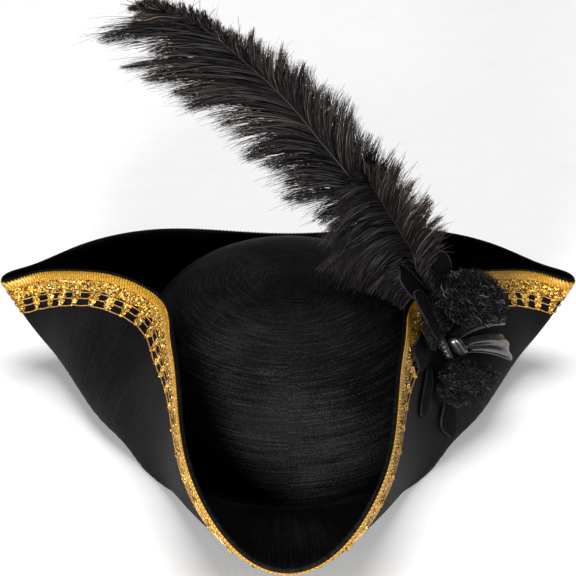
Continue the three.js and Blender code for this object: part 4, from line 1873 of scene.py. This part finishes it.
@dataclass(frozen=True)
class Rosette:
    """The rosette's pieces, at the places that they have in the CAD part."""

    pads: tuple[Pad, ...] = (
        Pad("tall_pad", (0.1, 0.1), (0.25, -0.22), 0.38, Seat.SHAFT),
        Pad("left_pad", (-0.12, 0.1), (-0.35, -0.24), 0.38, Seat.SHAFT),
        Pad("front_pad", (-0.55, 0.2), (-0.37, -0.1), 0.4, Seat.PAD),
        Pad("side_pad", (-0.45, 0.2), (-1.1, 0.13), 0.33, Seat.LACE),
        Pad("low_pad", (-0.72, 0.29), (-1.38, 0.47), 0.22, Seat.FELT),
        Pad("foot_pad", (-0.68, 0.57), (-0.94, 0.74), 0.42, Seat.FELT),
    )
    puffs: tuple[Puff, ...] = (
        Puff("upper_puff", 0.3, 0.13, 0.82, 0.36, 0.04, 14, Seat.PUFF, 1900, 41),
        Puff("lower_puff", -0.24, 0.53, 0.96, 0.2, 0.24, 10, Seat.FELT, 1200, 42),
    )
    # Painted shade: dark threads spread over the lace beside the rosette, to darken it.
    shade_nets: tuple[ShadeNet, ...] = (
        ShadeNet("upper_shade_net", -0.33, 0.12, 0.8, 0.25, 0.0, 5, Seat.SHAFT, 800, 43),
        ShadeNet("lower_shade_net", -0.45, 0.58, 0.8, 0.22, 0.24, 6, Seat.FELT, 330, 44),
    )
    roll: GlitterRoll = GlitterRoll()
    bow: SatinBow = SatinBow()

    def build(self, flap: Flap) -> None:
        """Makes all the pieces.

        Args:
            flap: The flap that they lie on.
        """
        pad_cloth, net = StiffCloth().material(), NylonNet().material()
        for pad in self.pads:
            pad.build(flap, pad_cloth)
        for puff in self.puffs + self.shade_nets:
            puff.build(flap, net)
        self.roll.build(flap, GlitterNet().material())
        self.bow.build(flap, SatinRibbon().material())


# The studio


@dataclass(frozen=True)
class Studio:
    """Floor, lights and camera. Lengths are in metres and the camera is at the photo's angle."""

    target: tuple[float, float, float] = (0.0, 0.0342, 0.083)
    distance: float = 1.2
    elevation: float = 28.0
    lens: float = 135.0
    sky: float = 0.12

    def build(self) -> None:
        """Makes the floor, the pale sky, three soft lights and the camera."""
        self._floor()
        world = bpy.data.worlds.new("pale_studio")
        world.use_nodes = True
        background = world.node_tree.nodes["Background"]
        background.inputs["Color"].default_value = linear("#FFFFFF")
        background.inputs["Strength"].default_value = self.sky
        bpy.context.scene.world = world
        self._light("key", (-0.36, -1.86, 0.3), 0.5, 80.0)
        self._light("top", (0.0, 0.4, 2.4), 1.8, 53.0)
        self._light("side", (1.6, -0.3, 0.8), 0.7, 1.0)
        self._camera()
        bpy.context.scene.view_settings.view_transform = "Standard"

    def _floor(self) -> None:
        """Makes the white floor, which isn't part of the hat."""
        mesh = bpy.data.meshes.new("floor")
        mesh.from_pydata([(-6, -6, 0), (6, -6, 0), (6, 6, 0), (-6, 6, 0)], [], [(0, 1, 2, 3)])
        mesh.materials.append(Paper().material())
        floor = bpy.data.objects.new("floor", mesh)
        bpy.context.scene.collection.objects.link(floor)

    def _light(
        self, name: str, place: tuple[float, float, float], size: float, power: float
    ) -> None:
        """Adds a round soft light that faces the hat.

        Args:
            name: The light's name.
            place: Its place in metres.
            size: Its diameter in metres.
            power: Its power in watts.
        """
        data = bpy.data.lights.new(name, "AREA")
        data.shape = "DISK"
        data.size = size
        data.energy = power
        light = bpy.data.objects.new(name, data)
        light.location = place
        way = Vector(self.target) - Vector(place)
        light.rotation_euler = way.to_track_quat("-Z", "Y").to_euler()
        bpy.context.scene.collection.objects.link(light)

    def _camera(self) -> None:
        """Makes the camera, which looks at the hat from the photo's height and distance."""
        data = bpy.data.cameras.new("camera")
        data.lens = self.lens
        data.sensor_width = 36.0
        rise = math.radians(self.elevation)
        back = Vector((0.0, -math.cos(rise), math.sin(rise))) * self.distance
        camera = bpy.data.objects.new("camera", data)
        camera.location = Vector(self.target) + back
        camera.rotation_euler = (-back).to_track_quat("-Z", "Y").to_euler()
        bpy.context.scene.collection.objects.link(camera)
        bpy.context.scene.camera = camera


def main() -> None:
    """Builds the hat from the felt outwards, then the studio."""
    logging.basicConfig(level=logging.INFO, format="%(message)s")
    brim = BrimSurface(HatSizes())
    FeltBody(brim).build()
    LaceTrim(brim).build()
    flap = Flap(brim)
    barbs, quill = OstrichBarb().material(), Quill().material()
    for plume in (long_plume(), short_plume()):
        plume.build(flap, barbs, quill)
    Rosette().build(flap)
    Studio().build()


if __name__ == "__main__":
    main()
